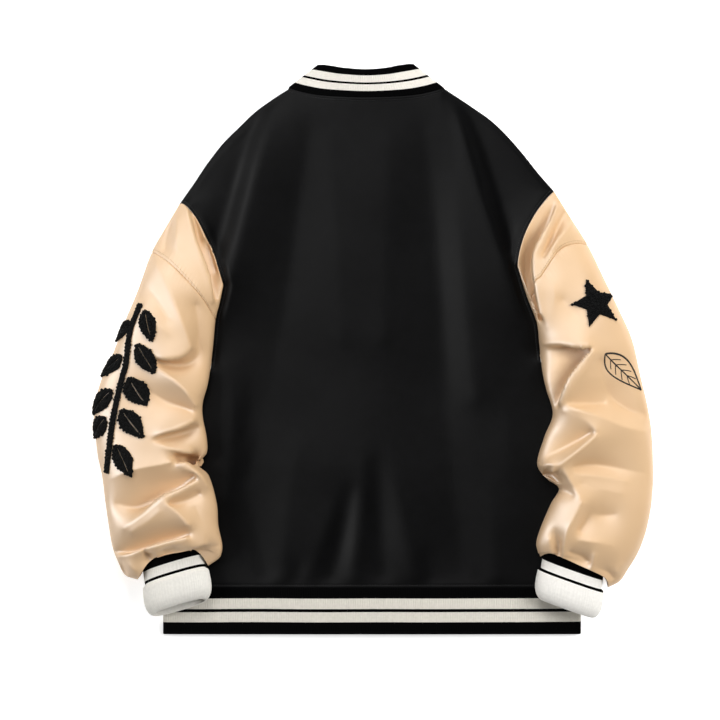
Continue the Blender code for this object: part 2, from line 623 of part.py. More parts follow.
class Body:
    """Outline and height of the body's two layers."""

    def __init__(self, left_armhole, right_armhole):
        first, last = COLLAR_TURNS
        neck = np.array(COLLAR, float)[first : last + 1, :3] - [0, 2 * SEAM, 0]
        neck[0], neck[-1] = LEFT_SHOULDER[-1], RIGHT_SHOULDER[-1]
        self.neck = neck
        self.left_shoulder = evenly(LEFT_SHOULDER, 6)
        self.right_shoulder = evenly(RIGHT_SHOULDER, 6)
        self.left = np.concatenate([evenly(LEFT_SIDE, 11), left_armhole[::-1]])
        self.right = np.concatenate([evenly(RIGHT_SIDE, 11), right_armhole[::-1]])
        hem = np.linspace(self.left[0], self.right[0], 22)
        hem[:, 2] = hem_height(hem[:, 0])
        self.outline = np.concatenate(
            [
                self.left,
                self.left_shoulder[1:-1],
                neck,
                self.right_shoulder[::-1][1:-1],
                self.right[::-1],
                hem[-2::-1],
            ]
        )
        rim = [np.linspace(a, b, 40) for a, b in zip(self.outline, self.outline[1:])]
        self.skin = Skin(BODY_CREASES, np.concatenate(rim)[:, :2])

    def edge(self, x, y):
        """Distance to the outline, and its height: the nearest place's, further in that of all."""
        distance, near = edge_distance(self.outline, x, y)
        total = np.zeros(np.shape(x))
        weights = np.zeros(np.shape(x))
        for place_x, place_y, height in self.outline:
            weight = ((x - place_x) ** 2 + (y - place_y) ** 2 + EDGE_BLEND**2) ** -2
            total += weight * height
            weights += weight
        local = np.exp(-distance / EDGE_BLEND)
        return distance, near * local + total / weights * (1 - local)

    def height(self, x, y):
        """Top of the back: it rises from its edges to a plateau, lower towards the hem."""
        distance, edge_z = self.edge(x, y)
        swell = 1 - np.exp(-distance / SWELL)
        plateau = PLATEAU - HEM_SINK * np.clip((SINK_START_Y - y) / SINK_LENGTH, 0, 1)
        relief = self.skin.at(x, y) * np.clip(distance / EDGE_CALM, 0, 1)
        return edge_z + (plateau - edge_z) * swell + relief

    def rest(self, x, y):
        """What a sleeve lies on: the back where it reaches, then down to the floor."""
        distance, edge_z = self.edge(x, y)
        over = inside_outline(self.outline, x, y)
        slope = (edge_z + 2 * LAID) * np.clip(1.25 - distance / BESIDE_BODY, 0, 1)
        return np.where(over, np.maximum(self.height(x, y) + LAID, edge_z + 2 * LAID), slope)


def patch(bottom, top, left, right):
    """Places over an area from its four edges, each a row of x, y points (a Coons patch)."""
    u = np.linspace(0, 1, len(bottom))[None, :, None]
    v = np.linspace(0, 1, len(left))[:, None, None]
    ruled = (1 - v) * bottom[None] + v * top[None] + (1 - u) * left[:, None] + u * right[:, None]
    low = (1 - u) * bottom[0] + u * bottom[-1]
    high = (1 - u) * top[0] + u * top[-1]
    return ruled - (1 - v) * low - v * high


def inset(points, distance):
    """A line of x, y points moved to its right by a distance."""
    along = np.gradient(points, axis=0)
    along /= np.linalg.norm(along, axis=1, keepdims=True)
    return points + distance * np.stack([along[:, 1], -along[:, 0]], axis=1)


def make_back(body):
    left = inset(body.left[:, :2], 2 * SEAM)
    right = inset(body.right[:, :2], -2 * SEAM)
    top = np.concatenate([body.left_shoulder, body.neck[1:-1], body.right_shoulder[::-1]])[:, :2]
    top[0], top[-1] = left[-1], right[-1]
    plan = patch(np.linspace(left[0], right[0], len(top)), top, left, right)
    outside = np.dstack([plan, body.height(plan[..., 0], plan[..., 1])])
    wall("back", outside, outside - [0, 0, CLOTH], BLACK_FLEECE)


def front_height(x, sign):
    """Underside of a front: flat, but for the placket over its snaps or over the other placket."""
    lift = PLACKET_LIFT if sign < 0 else PLACKET_LIFT + CLOTH + SEAM
    share = np.clip((PLACKET_EDGE + PLACKET_SLOPE - sign * x) / PLACKET_SLOPE, 0, 1)
    return lift * share**2 * (3 - 2 * share)


def make_front(name, edge, shoulder, neck, sign):
    """A front from its side and armhole to its placket, which passes the centre line."""
    side = inset(edge[:, :2], -sign * 2 * SEAM)
    top = np.concatenate([shoulder[:, :2], neck[1:, :2] - [0, SEAM]])
    top[0] = side[-1]
    corner = np.array([-sign * PLACKET, HEM_SEAM_Y])
    hem = np.linspace(side[0], corner, len(top))
    placket = np.linspace(corner, top[-1], len(side))
    plan = patch(hem, top, side, placket)
    outside = np.dstack([plan, front_height(plan[..., 0], sign)])
    wall(name, outside, outside + [0, 0, CLOTH], BLACK_FLEECE)


def make_fronts(body):
    first, last = COLLAR_TURNS
    rows = np.array(COLLAR, float)
    make_front("front_left", body.left, body.left_shoulder, rows[first::-1], -1)
    make_front("front_right", body.right, body.right_shoulder, rows[last:], 1)


def make_snaps():
    """Snap caps on the outside of the left placket, which faces the surface the jacket lies on."""
    for number, y in enumerate(np.linspace(LOWEST_SNAP_Y, HIGHEST_SNAP_Y, SNAP_COUNT), start=1):
        shape = bmesh.new()
        place = Matrix.Translation(Vector((0, y, 0.3 + SNAP_DEPTH / 2)) * MM)
        bmesh.ops.create_cone(
            shape,
            cap_ends=True,
            segments=16,
            radius1=(SNAP_RADIUS - 1) * MM,
            radius2=SNAP_RADIUS * MM,
            depth=SNAP_DEPTH * MM,
            matrix=place,
        )
        add_piece(f"snap_{number}", shape, SNAP_METAL)


def strip(name, near, far, thickness, finish):
    """A band between two lines of x, y, z points, with its thickness on its inner side."""
    across = np.linspace(0, 1, 5)[:, None, None]
    outside = near * (1 - across) + far * across
    inside = outside - normals(outside) * thickness
    wall(name, outside, inside, finish)


def make_hem():
    """The hem rib, one band from placket to placket round both sides."""
    left, right = LEFT_SIDE[0][0], RIGHT_SIDE[0][0]
    front_left = [(PLACKET, 0), (-60, 0), (-160, 0), (left + 12, 0)]
    left_turn = [(left + 3, 0.8), (left, 4.3), (left + 3, 7.8)]
    over = [(x, hem_height(x)) for x in np.linspace(left + 12, right - 12, 9)]
    right_turn = [(right - 3, 7.8), (right, 4.3), (right - 3, 0.8)]
    front_right = [(right - 12, 0), (160, 0), (70, 0), (34, 2.3), (18, 3.4), (-PLACKET, 3.4)]
    path = np.array(front_left + left_turn + over + right_turn + front_right, float)
    edge = np.insert(path, 1, HEM_EDGE_Y, axis=1)
    seam = np.insert(path, 1, HEM_SEAM_Y - SEAM, axis=1)
    strip("hem_rib", edge, seam, RIB, RIB_KNIT)


def make_collar():
    rows = np.array(COLLAR, float)
    strip("collar", rows[:, :3], rows[:, 3:], RIB, RIB_KNIT)


def make_sleeve(name, outside, inside, split):
    """The cap above the cross seam and the sleeve below it, each one sheet round the outer fold."""
    pieces = (
        (f"sleeve_cap_{name}", slice(0, split + 1), -1, -2),
        (f"sleeve_{name}", slice(split, None), 0, 1),
    )
    for piece, rows, edge, near in pieces:
        grids = np.array([outside[rows], inside[rows]])
        rim = grids[:, edge].mean(axis=0)
        across = np.cross(np.gradient(rim, axis=0), grids[0, edge] - grids[1, edge])
        across /= np.linalg.norm(across, axis=1, keepdims=True)
        step = grids[:, near].mean(axis=0) - rim
        reach = np.abs(np.sum(step * across, axis=1, keepdims=True))
        grids[:, edge] += step * np.minimum(SEAM / reach, MOST_OF_ROW)
        wall(piece, *grids, TAN_LEATHER)


class Surface:
    """The top of a sleeve's grid of points, read by millimetres along it and round it."""

    def __init__(self, grid, side):
        self.grid = grid
        self.facing = normals(grid) * side
        runs = np.linalg.norm(np.diff(grid, axis=0), axis=2)
        self.along = np.append(0, np.cumsum(runs[:, 2]))
        turns = np.linalg.norm(np.diff(grid, axis=1), axis=2)
        self.round = np.insert(np.cumsum(turns, axis=1), 0, 0, axis=1)

    def place(self, along, around, out):
        """The point there, moved out from the surface."""
        row = np.interp(along, self.along, np.arange(len(self.along)))
        first = min(int(row), len(self.grid) - 2)
        share = row - first
        lengths = self.round[first] * (1 - share) + self.round[first + 1] * share
        column = np.interp(around, lengths, np.arange(len(lengths)))
        left = min(int(column), len(lengths) - 2)
        across = column - left
        corners = [
            grid[first : first + 2, left : left + 2] for grid in (self.grid, self.facing)
        ]
        weights = np.outer((1 - share, share), (1 - across, across))[..., None]
        point, facing = (np.sum(corner * weights, axis=(0, 1)) for corner in corners)
        return point + facing / np.linalg.norm(facing) * out


def lens(surface, along, around, lean, length, width):
    """Grids for the face and back of one leaf: pointed at both ends, thickest along its middle."""
    run = np.array([np.cos(np.radians(lean)), np.sin(np.radians(lean))])
    side = np.array([-run[1], run[0]])
    face, back = [], []
    for share in np.linspace(0, 1, 8):
        half = width / 2 * (0.1 + 0.9 * np.sin(np.pi * share**0.85))
        for grid, out in ((face, PILE), (back, 0)):
            row = []
            for across in np.linspace(-1, 1, 5):
                spot = np.array([along, around]) + run * length * share + side * half * across
                rise = PILE_GAP + out * (1 - 0.45 * across**2)
                row.append(surface.place(*spot, rise))
            grid.append(row)
    return np.array(face), np.array(back)


def make_sprig(surface):
    path = spline(STEM, np.linspace(0, len(STEM) - 1, 19))
    side = np.gradient(path, axis=0)[:, ::-1] * [-1, 1]
    side /= np.linalg.norm(side, axis=1, keepdims=True)
    edges = [path + side * STEM_WIDTH / 2 * across for across in (-1, 0, 1)]
    face = [[surface.place(*spot, PILE_GAP + 0.8 * PILE) for spot in edge] for edge in edges]
    back = [[surface.place(*spot, PILE_GAP) for spot in edge] for edge in edges]
    wall("sprig_stem", np.array(face), np.array(back), BLACK_CHENILLE)
    for number, leaf in enumerate(SPRIG_LEAVES, start=1):
        wall(f"sprig_leaf_{number}", *lens(surface, *leaf), BLACK_CHENILLE)


def make_star(surface):
    shape = bmesh.new()
    bmesh.ops.create_circle(shape, cap_ends=True, cap_tris=True, segments=10, radius=1)
    rim = [vertex for vertex in shape.verts if vertex.co.length > 0.5]
    for number, vertex in enumerate(rim):
        vertex.co *= STAR_NOTCH if number % 2 else 1
    bmesh.ops.subdivide_edges(shape, edges=shape.edges[:], cuts=2, use_grid_fill=True)
    thicken(shape)
    turn = Matrix.Rotation(np.radians(STAR_TURN), 3, "Z")
    bmesh.ops.rotate(shape, verts=shape.verts[:], matrix=turn)
    for vertex in shape.verts:
        x, y, layer = vertex.co
        out = PILE_GAP + PILE * layer * (1 - 0.3 * (x * x + y * y))
        along, around = STAR_ALONG + STAR_RADIUS * x, STAR_ROUND + STAR_RADIUS * y
        vertex.co = surface.place(along, around, out) * MM
    add_piece("star", shape, BLACK_CHENILLE)


def squared(wave):
    """Makes the round of a cuff a little squarer."""
    return np.sign(wave) * np.abs(wave) ** CUFF_SQUARE


def make_cuff(name, side, x1, y1, x2, y2, tilt, half_width, back):
    """A knitted tube with a turned-back band: its section is a flattened round."""
    angles = np.linspace(0, 2 * np.pi, CUFF_SIDES + 1)
    tilt = np.radians(tilt * -side)
    across = np.array([np.cos(tilt), np.sin(tilt), 0])
    run = np.array([x2 - x1, y2 - y1, 0]) / CUFF_PROFILE[-1][0]
    outside, inside = [], []
    for distance, stand in CUFF_PROFILE:
        middle = np.array([x1, y1, CUFF_MID_Z]) + distance * run
        for grid, offset in ((outside, stand), (inside, min(stand, 0) - CUFF_WALL)):
            wide = squared(np.cos(angles)) * (half_width + offset)
            deep = squared(np.sin(angles)) * (CUFF_HALF_DEPTH + offset)
            lie_back = np.outer(squared(np.sin(angles)) * back, run)
            grid.append(middle + np.outer(wide, across) + np.outer(deep, (0, 0, 1)) - lie_back)
    wall(name, np.array(outside), np.array(inside), RIB_KNIT, tube=True)


def main():
    clear_scene()
    armhole_rows = np.linspace(0, UNDERARM, ARMHOLE_ROWS)
    left = Sleeve(-1, LEFT_SLEEVE, LEFT_CREASES)
    right = Sleeve(1, RIGHT_SLEEVE, RIGHT_CREASES)
    body = Body(left.armhole(armhole_rows), right.armhole(armhole_rows))
    make_back(body)
    make_fronts(body)
    make_snaps()
    make_hem()
    make_collar()
    split = int(np.argmin(np.abs(armhole_rows - CROSS_SEAM)))
    armhole_rows[split] = CROSS_SEAM
    lower_rows = np.linspace(UNDERARM, len(LEFT_SLEEVE) - 1, LOWER_ROWS)
    rows = np.concatenate([armhole_rows, lower_rows[1:]])
    for sleeve, name, trim in ((left, "left", make_sprig), (right, "right", make_star)):
        outside, inside = sleeve.grid(rows, body)
        make_sleeve(name, outside, inside, split)
        trim(Surface(outside[:, len(LOW_TURNS) - 1 :], sleeve.side))
    make_cuff("cuff_left", *LEFT_CUFF)
    make_cuff("cuff_right", *RIGHT_CUFF)


main()
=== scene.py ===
"""A varsity jacket laid flat on its front: its cloth, leather, rib knit, sewing and chenille.

Lengths are millimetres unless a name says otherwise. X runs across the jacket, +Y towards the neck
and +Z up from the surface that it lies on. "Left" is the wearer's left, which is at -X.
"""

import bmesh
import bpy
import numpy as np
from mathutils import Matrix, Vector


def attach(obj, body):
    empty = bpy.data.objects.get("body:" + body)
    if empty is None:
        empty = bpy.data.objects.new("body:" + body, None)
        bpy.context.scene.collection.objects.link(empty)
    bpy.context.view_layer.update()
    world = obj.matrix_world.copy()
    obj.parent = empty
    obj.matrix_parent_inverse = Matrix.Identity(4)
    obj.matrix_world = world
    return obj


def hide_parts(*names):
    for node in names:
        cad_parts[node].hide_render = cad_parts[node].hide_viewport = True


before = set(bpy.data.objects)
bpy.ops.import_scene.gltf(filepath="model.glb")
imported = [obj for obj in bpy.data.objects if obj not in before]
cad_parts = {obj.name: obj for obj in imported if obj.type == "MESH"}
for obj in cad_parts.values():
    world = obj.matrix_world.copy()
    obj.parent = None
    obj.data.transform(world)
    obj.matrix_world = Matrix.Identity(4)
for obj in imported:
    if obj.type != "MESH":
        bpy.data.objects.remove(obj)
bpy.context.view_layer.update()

MM = 0.001

# Thicknesses and gaps
CLOTH = 2.0
LEATHER = 1.4
RIB = 3.0
SEAM = 0.15
LAID = 1.4  # air between a sleeve and the body under it

# Body
HEM_SEAM_Y = -309.0
HEM_EDGE_Y = -369.0
HEM_CROWN = 12.4
HEM_DROP = 3.6
HEM_HALF_WIDTH = 272.0
PLATEAU = 15.0  # height of the back away from its edges
HEM_SINK = 4.0  # how much lower the back is near the hem
SINK_START_Y = -150.0  # where it begins to be lower
SINK_LENGTH = 150.0
SWELL = 26.0  # distance from an edge in which the back rises to its height
EDGE_BLEND = 6.0  # distance over which the heights of an edge run into each other
EDGE_CALM = 12.0  # distance from an edge in which the creases fade
EDGE_ROLL = 0.9  # how far the back's edge rolls down, and
ROLL_REACH = 3.0  # the distance in which it does so
PLACKET = 15.0  # how far each front passes the centre line
PLACKET_LIFT = 2.0  # room under the placket for the snap caps
PLACKET_GAP = 0.5  # air between the two plackets
PLACKET_EDGE = 38.0  # distance from the centre line within which a front is lifted, and
PLACKET_SLOPE = 24.0  # the distance in which it comes down from there
SNAP_COUNT = 7
LOWEST_SNAP_Y = -285.0
HIGHEST_SNAP_Y = 240.0
SNAP_SIDES = 40
# Half a snap cap's section: radius, height
SNAP_SECTION = (
    (0, 0.3),
    (4.2, 0.36),
    (5.2, 0.5),
    (5.5, 0.75),
    (6.2, 0.55),
    (7.2, 0.8),
    (7.5, 1.3),
    (7.2, 1.7),
    (0, 1.7),
)

# Rows and columns of the sheets
BODY_WIDTH = 560.0
BODY_LENGTH = 640.0
FRONT_WIDTH = 270.0
BACK_COLUMN = 3.6  # distance between the back's columns
BACK_ROW = 3.8
FRONT_STEP = 6.0
FINE_STEPS = (0, 1.0, 2.0, 3.0, 4.0, 5.0, 6.5)  # places near an edge, where rows are close together

# Points of the lines that outline the pieces
CURVE_POINTS = 30  # for each row of a table
NECK_POINTS = 41
FRONT_NECK_POINTS = 40
HEM_POINTS = 60
SIDE_POINTS = 90
TOP_POINTS = 120
COLLAR_POINTS = 900
FOLD_POINTS = 900
CAP_POINTS = 250
SEAM_POINTS = 200

# Side seam from the hem up to the underarm: x, y, height of the back's edge
LEFT_SIDE = (
    (-271, -309, 8.8),
    (-283, -276, 5.2),
    (-289, -221, 5.2),
    (-291, -169, 5.2),
    (-287, -117, 5.2),
    (-275, -81, 5.2),
    (-254, -56, 5.2),
    (-230, -42, 5.5),
)
RIGHT_SIDE = (
    (272, -309, 8.8),
    (284, -276, 5.2),
    (291, -221, 5.2),
    (292, -169, 5.2),
    (288, -117, 5.2),
    (278, -84, 5.2),
    (262, -58, 5.2),
    (241, -37, 5.5),
)

# Shoulder seam from the sleeve up to the neck: x, y, height of the back's edge
LEFT_SHOULDER = (
    (-249, 190, 5.4),
    (-230, 217, 5.6),
    (-214, 241, 5.4),
    (-193, 268, 5.4),
    (-172, 289, 5.4),
    (-151, 309, 5.6),
    (-129, 325, 6.2),
    (-107, 339, 8),
)
RIGHT_SHOULDER = (
    (237, 206, 5.4),
    (216, 230, 5.6),
    (197, 254, 5.4),
    (176, 278, 5.4),
    (155, 298, 5.4),
    (131, 315, 5.6),
    (110, 329, 6.2),
    (93, 340, 8),
)

# Collar from the left front round the back to the right front: the seam's x, y, z, the free edge's
COLLAR = (
    (15, 262, 0, 12, 302, 0),
    (-20, 266, 0, -14, 307, 0),
    (-52, 280, 0, -36, 319, 0),
    (-80, 303, 0, -53, 338, 0),
    (-98, 327, 0, -62, 359, 0),
    (-106, 339, 1.6, -67, 369, 1.6),
    (-108, 341, 5.0, -69, 371, 5.0),
    (-105, 339.5, 8.6, -66, 371, 8.6),
    (-92, 335.5, 10.5, -58, 370, 11),
    (-70, 331, 12.5, -47, 368, 14),
    (-40, 328.5, 15.5, -34, 365.5, 19),
    (-7, 327.5, 17, -8, 363.5, 21),
    (26, 328.5, 15.5, 17, 365.5, 19),
    (56, 331, 12.5, 33, 369, 14),
    (78, 335.5, 10.5, 44, 371, 11),
    (91, 339.5, 8.6, 51, 372, 8.6),
    (94, 341, 5.0, 54, 372, 5.0),
    (92, 339, 1.6, 52, 370, 1.6),
    (84, 327, 0, 47, 360, 0),
    (66, 303, 0, 38, 340, 0),
    (42, 280, 1.4, 24, 321, 1.4),
    (14, 266, 4.7, 4, 309, 4.7),
    (-15, 262, 4.7, -12, 304, 4.7),
)
COLLAR_TURNS = (6, 16)  # rows of that table at the two ends of the back

# Sleeve from the armhole to the cuff: the two folds of the laid sleeve, how far a row bows back, the
# share of the way across where it does so most and how flat the bow is (2 is a parabola), and the
# heights of the row's middle, of its outer fold and of the two edges along the inner one.
# outer x, outer y, inner x, inner y, bow, peak, flat, crown, outer_z, top_z, low_z
LEFT_SLEEVE = (
    (-249, 190, -192, 84, 10, 0.32, 2, 18, 5.4, 18, 0),
    (-267, 159, -197, 60, 11, 0.36, 2.2, 28, 9, 17, 0),
    (-285, 126, -202, 40, 9, 0.42, 2.5, 38, 14, 15, 0),
    (-302, 78, -205, 10, 4, 0.5, 3, 46, 18, 12, 0),
    (-318, 39, -208, -16, 1, 0.5, 3, 50, 20, 10, 0),
    (-335, -6, -212, -45, 0, 0.5, 3, 54, 22, 25, 25),
    (-350, -40, -218, -68, 0, 0.5, 3, 56, 23, 29, 29),
    (-359, -78, -218, -87, 0, 0.5, 3, 57, 23, 30, 30),
    (-357, -111, -213, -113, 0, 0.5, 3, 57, 23, 30, 30),
    (-354, -137, -213, -133, 0, 0.5, 3, 56, 23, 30, 30),
    (-351, -151, -224, -148, 0, 0.5, 3, 56, 23, 30, 30),
    (-348, -166, -210, -163, 0, 0.5, 3, 57, 23, 30, 30),
    (-344, -198, -200, -198, 0, 0.5, 3, 58, 23, 30, 30),
    (-340, -226, -198, -226, 1, 0.5, 3, 57, 23, 30, 30),
    (-335, -255, -193, -251, 4, 0.5, 3, 54, 23, 29, 29),
    (-328, -274, -194, -263, 10, 0.5, 5, 50, 23, 28, 28),
    (-319, -291, -198, -270, 18, 0.55, 5, 48, 23, 27, 27),
    (-303, -297, -211, -279, 26, 0.6, 5, 48, 24, 26, 26),
)
RIGHT_SLEEVE = (
    (237, 206, 189, 109, 10, 0.5, 2, 18, 5.4, 18, 0),
    (258, 172, 201, 70, 19, 0.45, 2.5, 28, 9, 17, 0),
    (280, 136, 214, 36, 29, 0.44, 3.2, 38, 14, 15, 0),
    (302, 90, 217, 13, 20, 0.45, 3.2, 46, 18, 12, 0),
    (320, 52, 219, -6, 8, 0.5, 3, 50, 20, 10, 0),
    (337, 13, 222, -34, 0, 0.5, 3, 54, 22, 25, 25),
    (348, -35, 226, -52, 0, 0.5, 3, 56, 23, 29, 29),
    (357, -74, 234, -83, 0, 0.5, 3, 57, 23, 30, 30),
    (362, -107, 223, -113, 0, 0.5, 3, 57, 23, 30, 30),
    (364, -146, 214, -147, 0, 0.5, 3, 57, 23, 30, 30),
    (364, -169, 226, -166, 0, 0.5, 3, 56, 23, 30, 30),
    (363, -186, 242, -179, 0, 0.5, 3, 56, 23, 30, 30),
    (361, -205, 232, -198, 0, 0.5, 3, 57, 23, 30, 30),
    (354, -237, 219, -228, 1, 0.5, 3, 57, 23, 30, 30),
    (344, -263, 213, -248, 4, 0.5, 3, 54, 23, 29, 29),
    (332, -283, 215, -261, 5, 0.5, 6, 50, 23, 28, 28),
    (321, -299, 217, -264, 8, 0.5, 7, 48, 23, 27, 27),
    (306, -307, 218, -267, 11, 0.5, 9, 48, 24, 26, 26),
)
DOME = 3.3  # 2 would be an ellipse, more is flatter on top
CROSS_SEAM = 2.0  # row where the sleeve's cap is joined
LIFT_ROW = 3.5  # row from where the sleeve's underside rises off the surface
UNDERARM = 4.35  # row where the armhole ends
FLOOR_CORNER = 16.0  # radius of the sleeve's lower corners
BESIDE_BODY = 16.0  # distance in which a sleeve comes down beside the body
LEATHER_COLUMNS = 128  # of the sleeve's top
FLOOR_COLUMNS = 22  # of its underside
ARMHOLE_POINTS = 60
SEAM_ZONE = 0.23  # rows either side of the cross seam that lie closer together
SEAM_ROWS = (-0.16, -0.09, -0.045, -0.02, 0, 0.02, 0.045, 0.09, 0.16)  # from the cross seam
CAP_ROWS = 34
LOWER_ROWS = 235
ALONG_COLUMN = 12  # column of the top on which the sleeve's length is measured

# Creases, crests and troughs alike: each a line of x, y and rise above the plain form. The cloth is
# stretched from line to line.
BODY_CREASES = (
    ((-127, 320, 2), (-140, 276, 7), (-158, 208, 9), (-174, 143, 10), (-187, 91, 9), (-198, 42, 4)),
    ((-142, 320, -2), (-161, 270, -5), (-179, 208, -8), (-197, 146, -8), (-205, 114, -5)),
    ((105, 320, 2), (120, 276, 7), (141, 208, 9), (162, 143, 10), (177, 91, 9), (192, 42, 4)),
    ((120, 322, -2), (140, 270, -5), (161, 208, -8), (181, 146, -8), (189, 114, -5)),
    ((-77, 296, -1), (-93, 195, -3), (-111, 65, -4), (-137, -65, -4), (-161, -169, -3)),
    ((68, 296, -1), (79, 195, -4), (89, 65, -6), (97, -65, -5), (105, -169, -4), (118, -289, -3)),
    ((-54, 273, 2), (-44, 143, 3), (-38, 13, 3)),
    ((21, 273, 2), (19, 143, 3), (14, 13, 3)),
    ((105, 312, 2), (112, 195, 4), (123, 65, 5), (136, -65, 4)),
    ((-7, -104, 1), (-12, -182, 4), (-20, -260, 5), (-24, -302, 2)),
    ((19, -117, 1), (36, -195, 4), (51, -273, 4), (59, -302, 2)),
    ((-41, -179, 1), (-59, -234, 4), (-81, -292, 3)),
    ((7, -143, 0), (11, -221, -3), (16, -296, -3)),
    ((-28, -182, -1), (-40, -247, -3), (-53, -299, -3)),
    ((-93, -117, 1), (-106, -195, 3), (-114, -273, 2)),
    ((-168, -166, -2), (-153, -234, -4), (-137, -299, -3)),
    ((-192, -13, 1), (-181, -91, 4), (-189, -195, 3)),
    ((-163, 0, -1), (-155, -65, -4), (-163, -117, -2)),
    ((183, -13, 1), (175, -117, 3), (185, -221, 3)),
    ((154, -169, 2), (159, -247, 3), (162, -299, 2)),
    ((-112, -273, 1), (-116, -303, 2)),
    ((-96, -281, -1), (-98, -304, -2)),
    ((73, -268, -1), (79, -304, -2)),
    ((138, -276, -1), (136, -304, -2)),
)
LEFT_CREASES = (
    (
        (-240, 187, 4), (-233, 162, 10), (-227, 136, 13),
        (-218, 108, 13), (-210, 84, 11), (-205, 62, 7),
    ),
    (
        (-236, 187, -2), (-229, 164, -7), (-223, 138, -12),
        (-214, 109, -13), (-206, 86, -11), (-201, 66, -5),
    ),
    ((-219, 161, -6), (-209, 130, -10), (-201, 101, -9)),
    ((-259, 166, -3), (-265, 146, -5), (-267, 130, -3)),
    ((-252, 169, 5), (-252, 143, 8), (-248, 121, 7)),
    ((-278, 112, 5), (-262, 81, 10), (-248, 47, 13), (-237, 18, 14), (-233, 3, 13)),
    ((-291, 84, 1), (-275, 60, 3), (-261, 39, 7)),
    ((-301, 60, 4), (-278, 36, 10), (-257, 18, 12), (-241, 6, 13)),
    ((-280, -9, 6), (-268, -11, 11), (-252, -10, 12), (-240, -5, 12.5), (-233, 3, 13)),
    (
        (-276, -14, 1), (-265, -18, -9), (-249, -20, -13), (-235, -17, -12),
        (-224, -5, -8), (-223, 10, -6), (-224, 32, -3), (-227, 58, 0),
    ),
    ((-280, -21, 5), (-265, -31, 8), (-249, -43, 10), (-236, -56, 11), (-226, -72, 8)),
    ((-300, -36, 0), (-280, -57, -6), (-262, -68, -9), (-244, -74, -8), (-232, -79, -2)),
    ((-280, -112, 5), (-265, -105, 10), (-246, -99, 12), (-228, -90, 9)),
    ((-278, -116, 2), (-262, -112, -8), (-242, -107, -12), (-224, -99, -6)),
    ((-279, -120, 5), (-265, -125, 7), (-249, -129, 7), (-232, -130, 4)),
    ((-254, -136, -1), (-244, -139, -18), (-231, -142, -33), (-219, -144, -27)),
    ((-249, -147, 8), (-239, -150, 12), (-228, -155, 13), (-218, -164, 11), (-211, -177, 5)),
    ((-335, -166, 3), (-314, -156, 8), (-293, -151, 10), (-275, -148, 10), (-257, -144, 9)),
    (
        (-328, -198, -5), (-305, -203, -12), (-285, -196, -16),
        (-267, -187, -15), (-246, -176, -12), (-229, -163, -4),
    ),
    (
        (-319, -230, 5), (-301, -217, 8), (-283, -203, 10),
        (-267, -192, 12), (-246, -181, 9), (-224, -168, 6),
    ),
    ((-258, -198, 0), (-241, -194, -5), (-222, -185, -7)),
    ((-263, -198, 13), (-249, -209, 13), (-235, -225, 13)),
    ((-226, -203, -2), (-215, -228, 2), (-216, -247, 4)),
    ((-309, -234, 6), (-288, -221, 9), (-272, -207, 12)),
    (
        (-337, -260, -3), (-314, -260, -8), (-292, -255, -10),
        (-271, -248, -10), (-252, -243, -8), (-236, -237, -3),
    ),
    ((-330, -268, 2), (-307, -263, 6), (-281, -255, 9), (-255, -247, 11), (-236, -242, 10)),
    ((-235, -256, 4), (-223, -252, 5), (-213, -248, 4)),
    ((-232, -260, -5), (-219, -256, -7), (-207, -254, -6), (-197, -252, -3)),
    ((-288, -255, 5), (-281, -259, 6), (-274, -266, 5)),
    ((-293, -259, -3), (-288, -266, -7), (-283, -274, -6)),
    ((-267, -260, 1), (-254, -256, 1)),
    ((-317, -272, 4), (-310, -280, 5), (-304, -285, 4)),
    ((-324, -273, -1), (-322, -282, -6), (-318, -291, -6)),
)
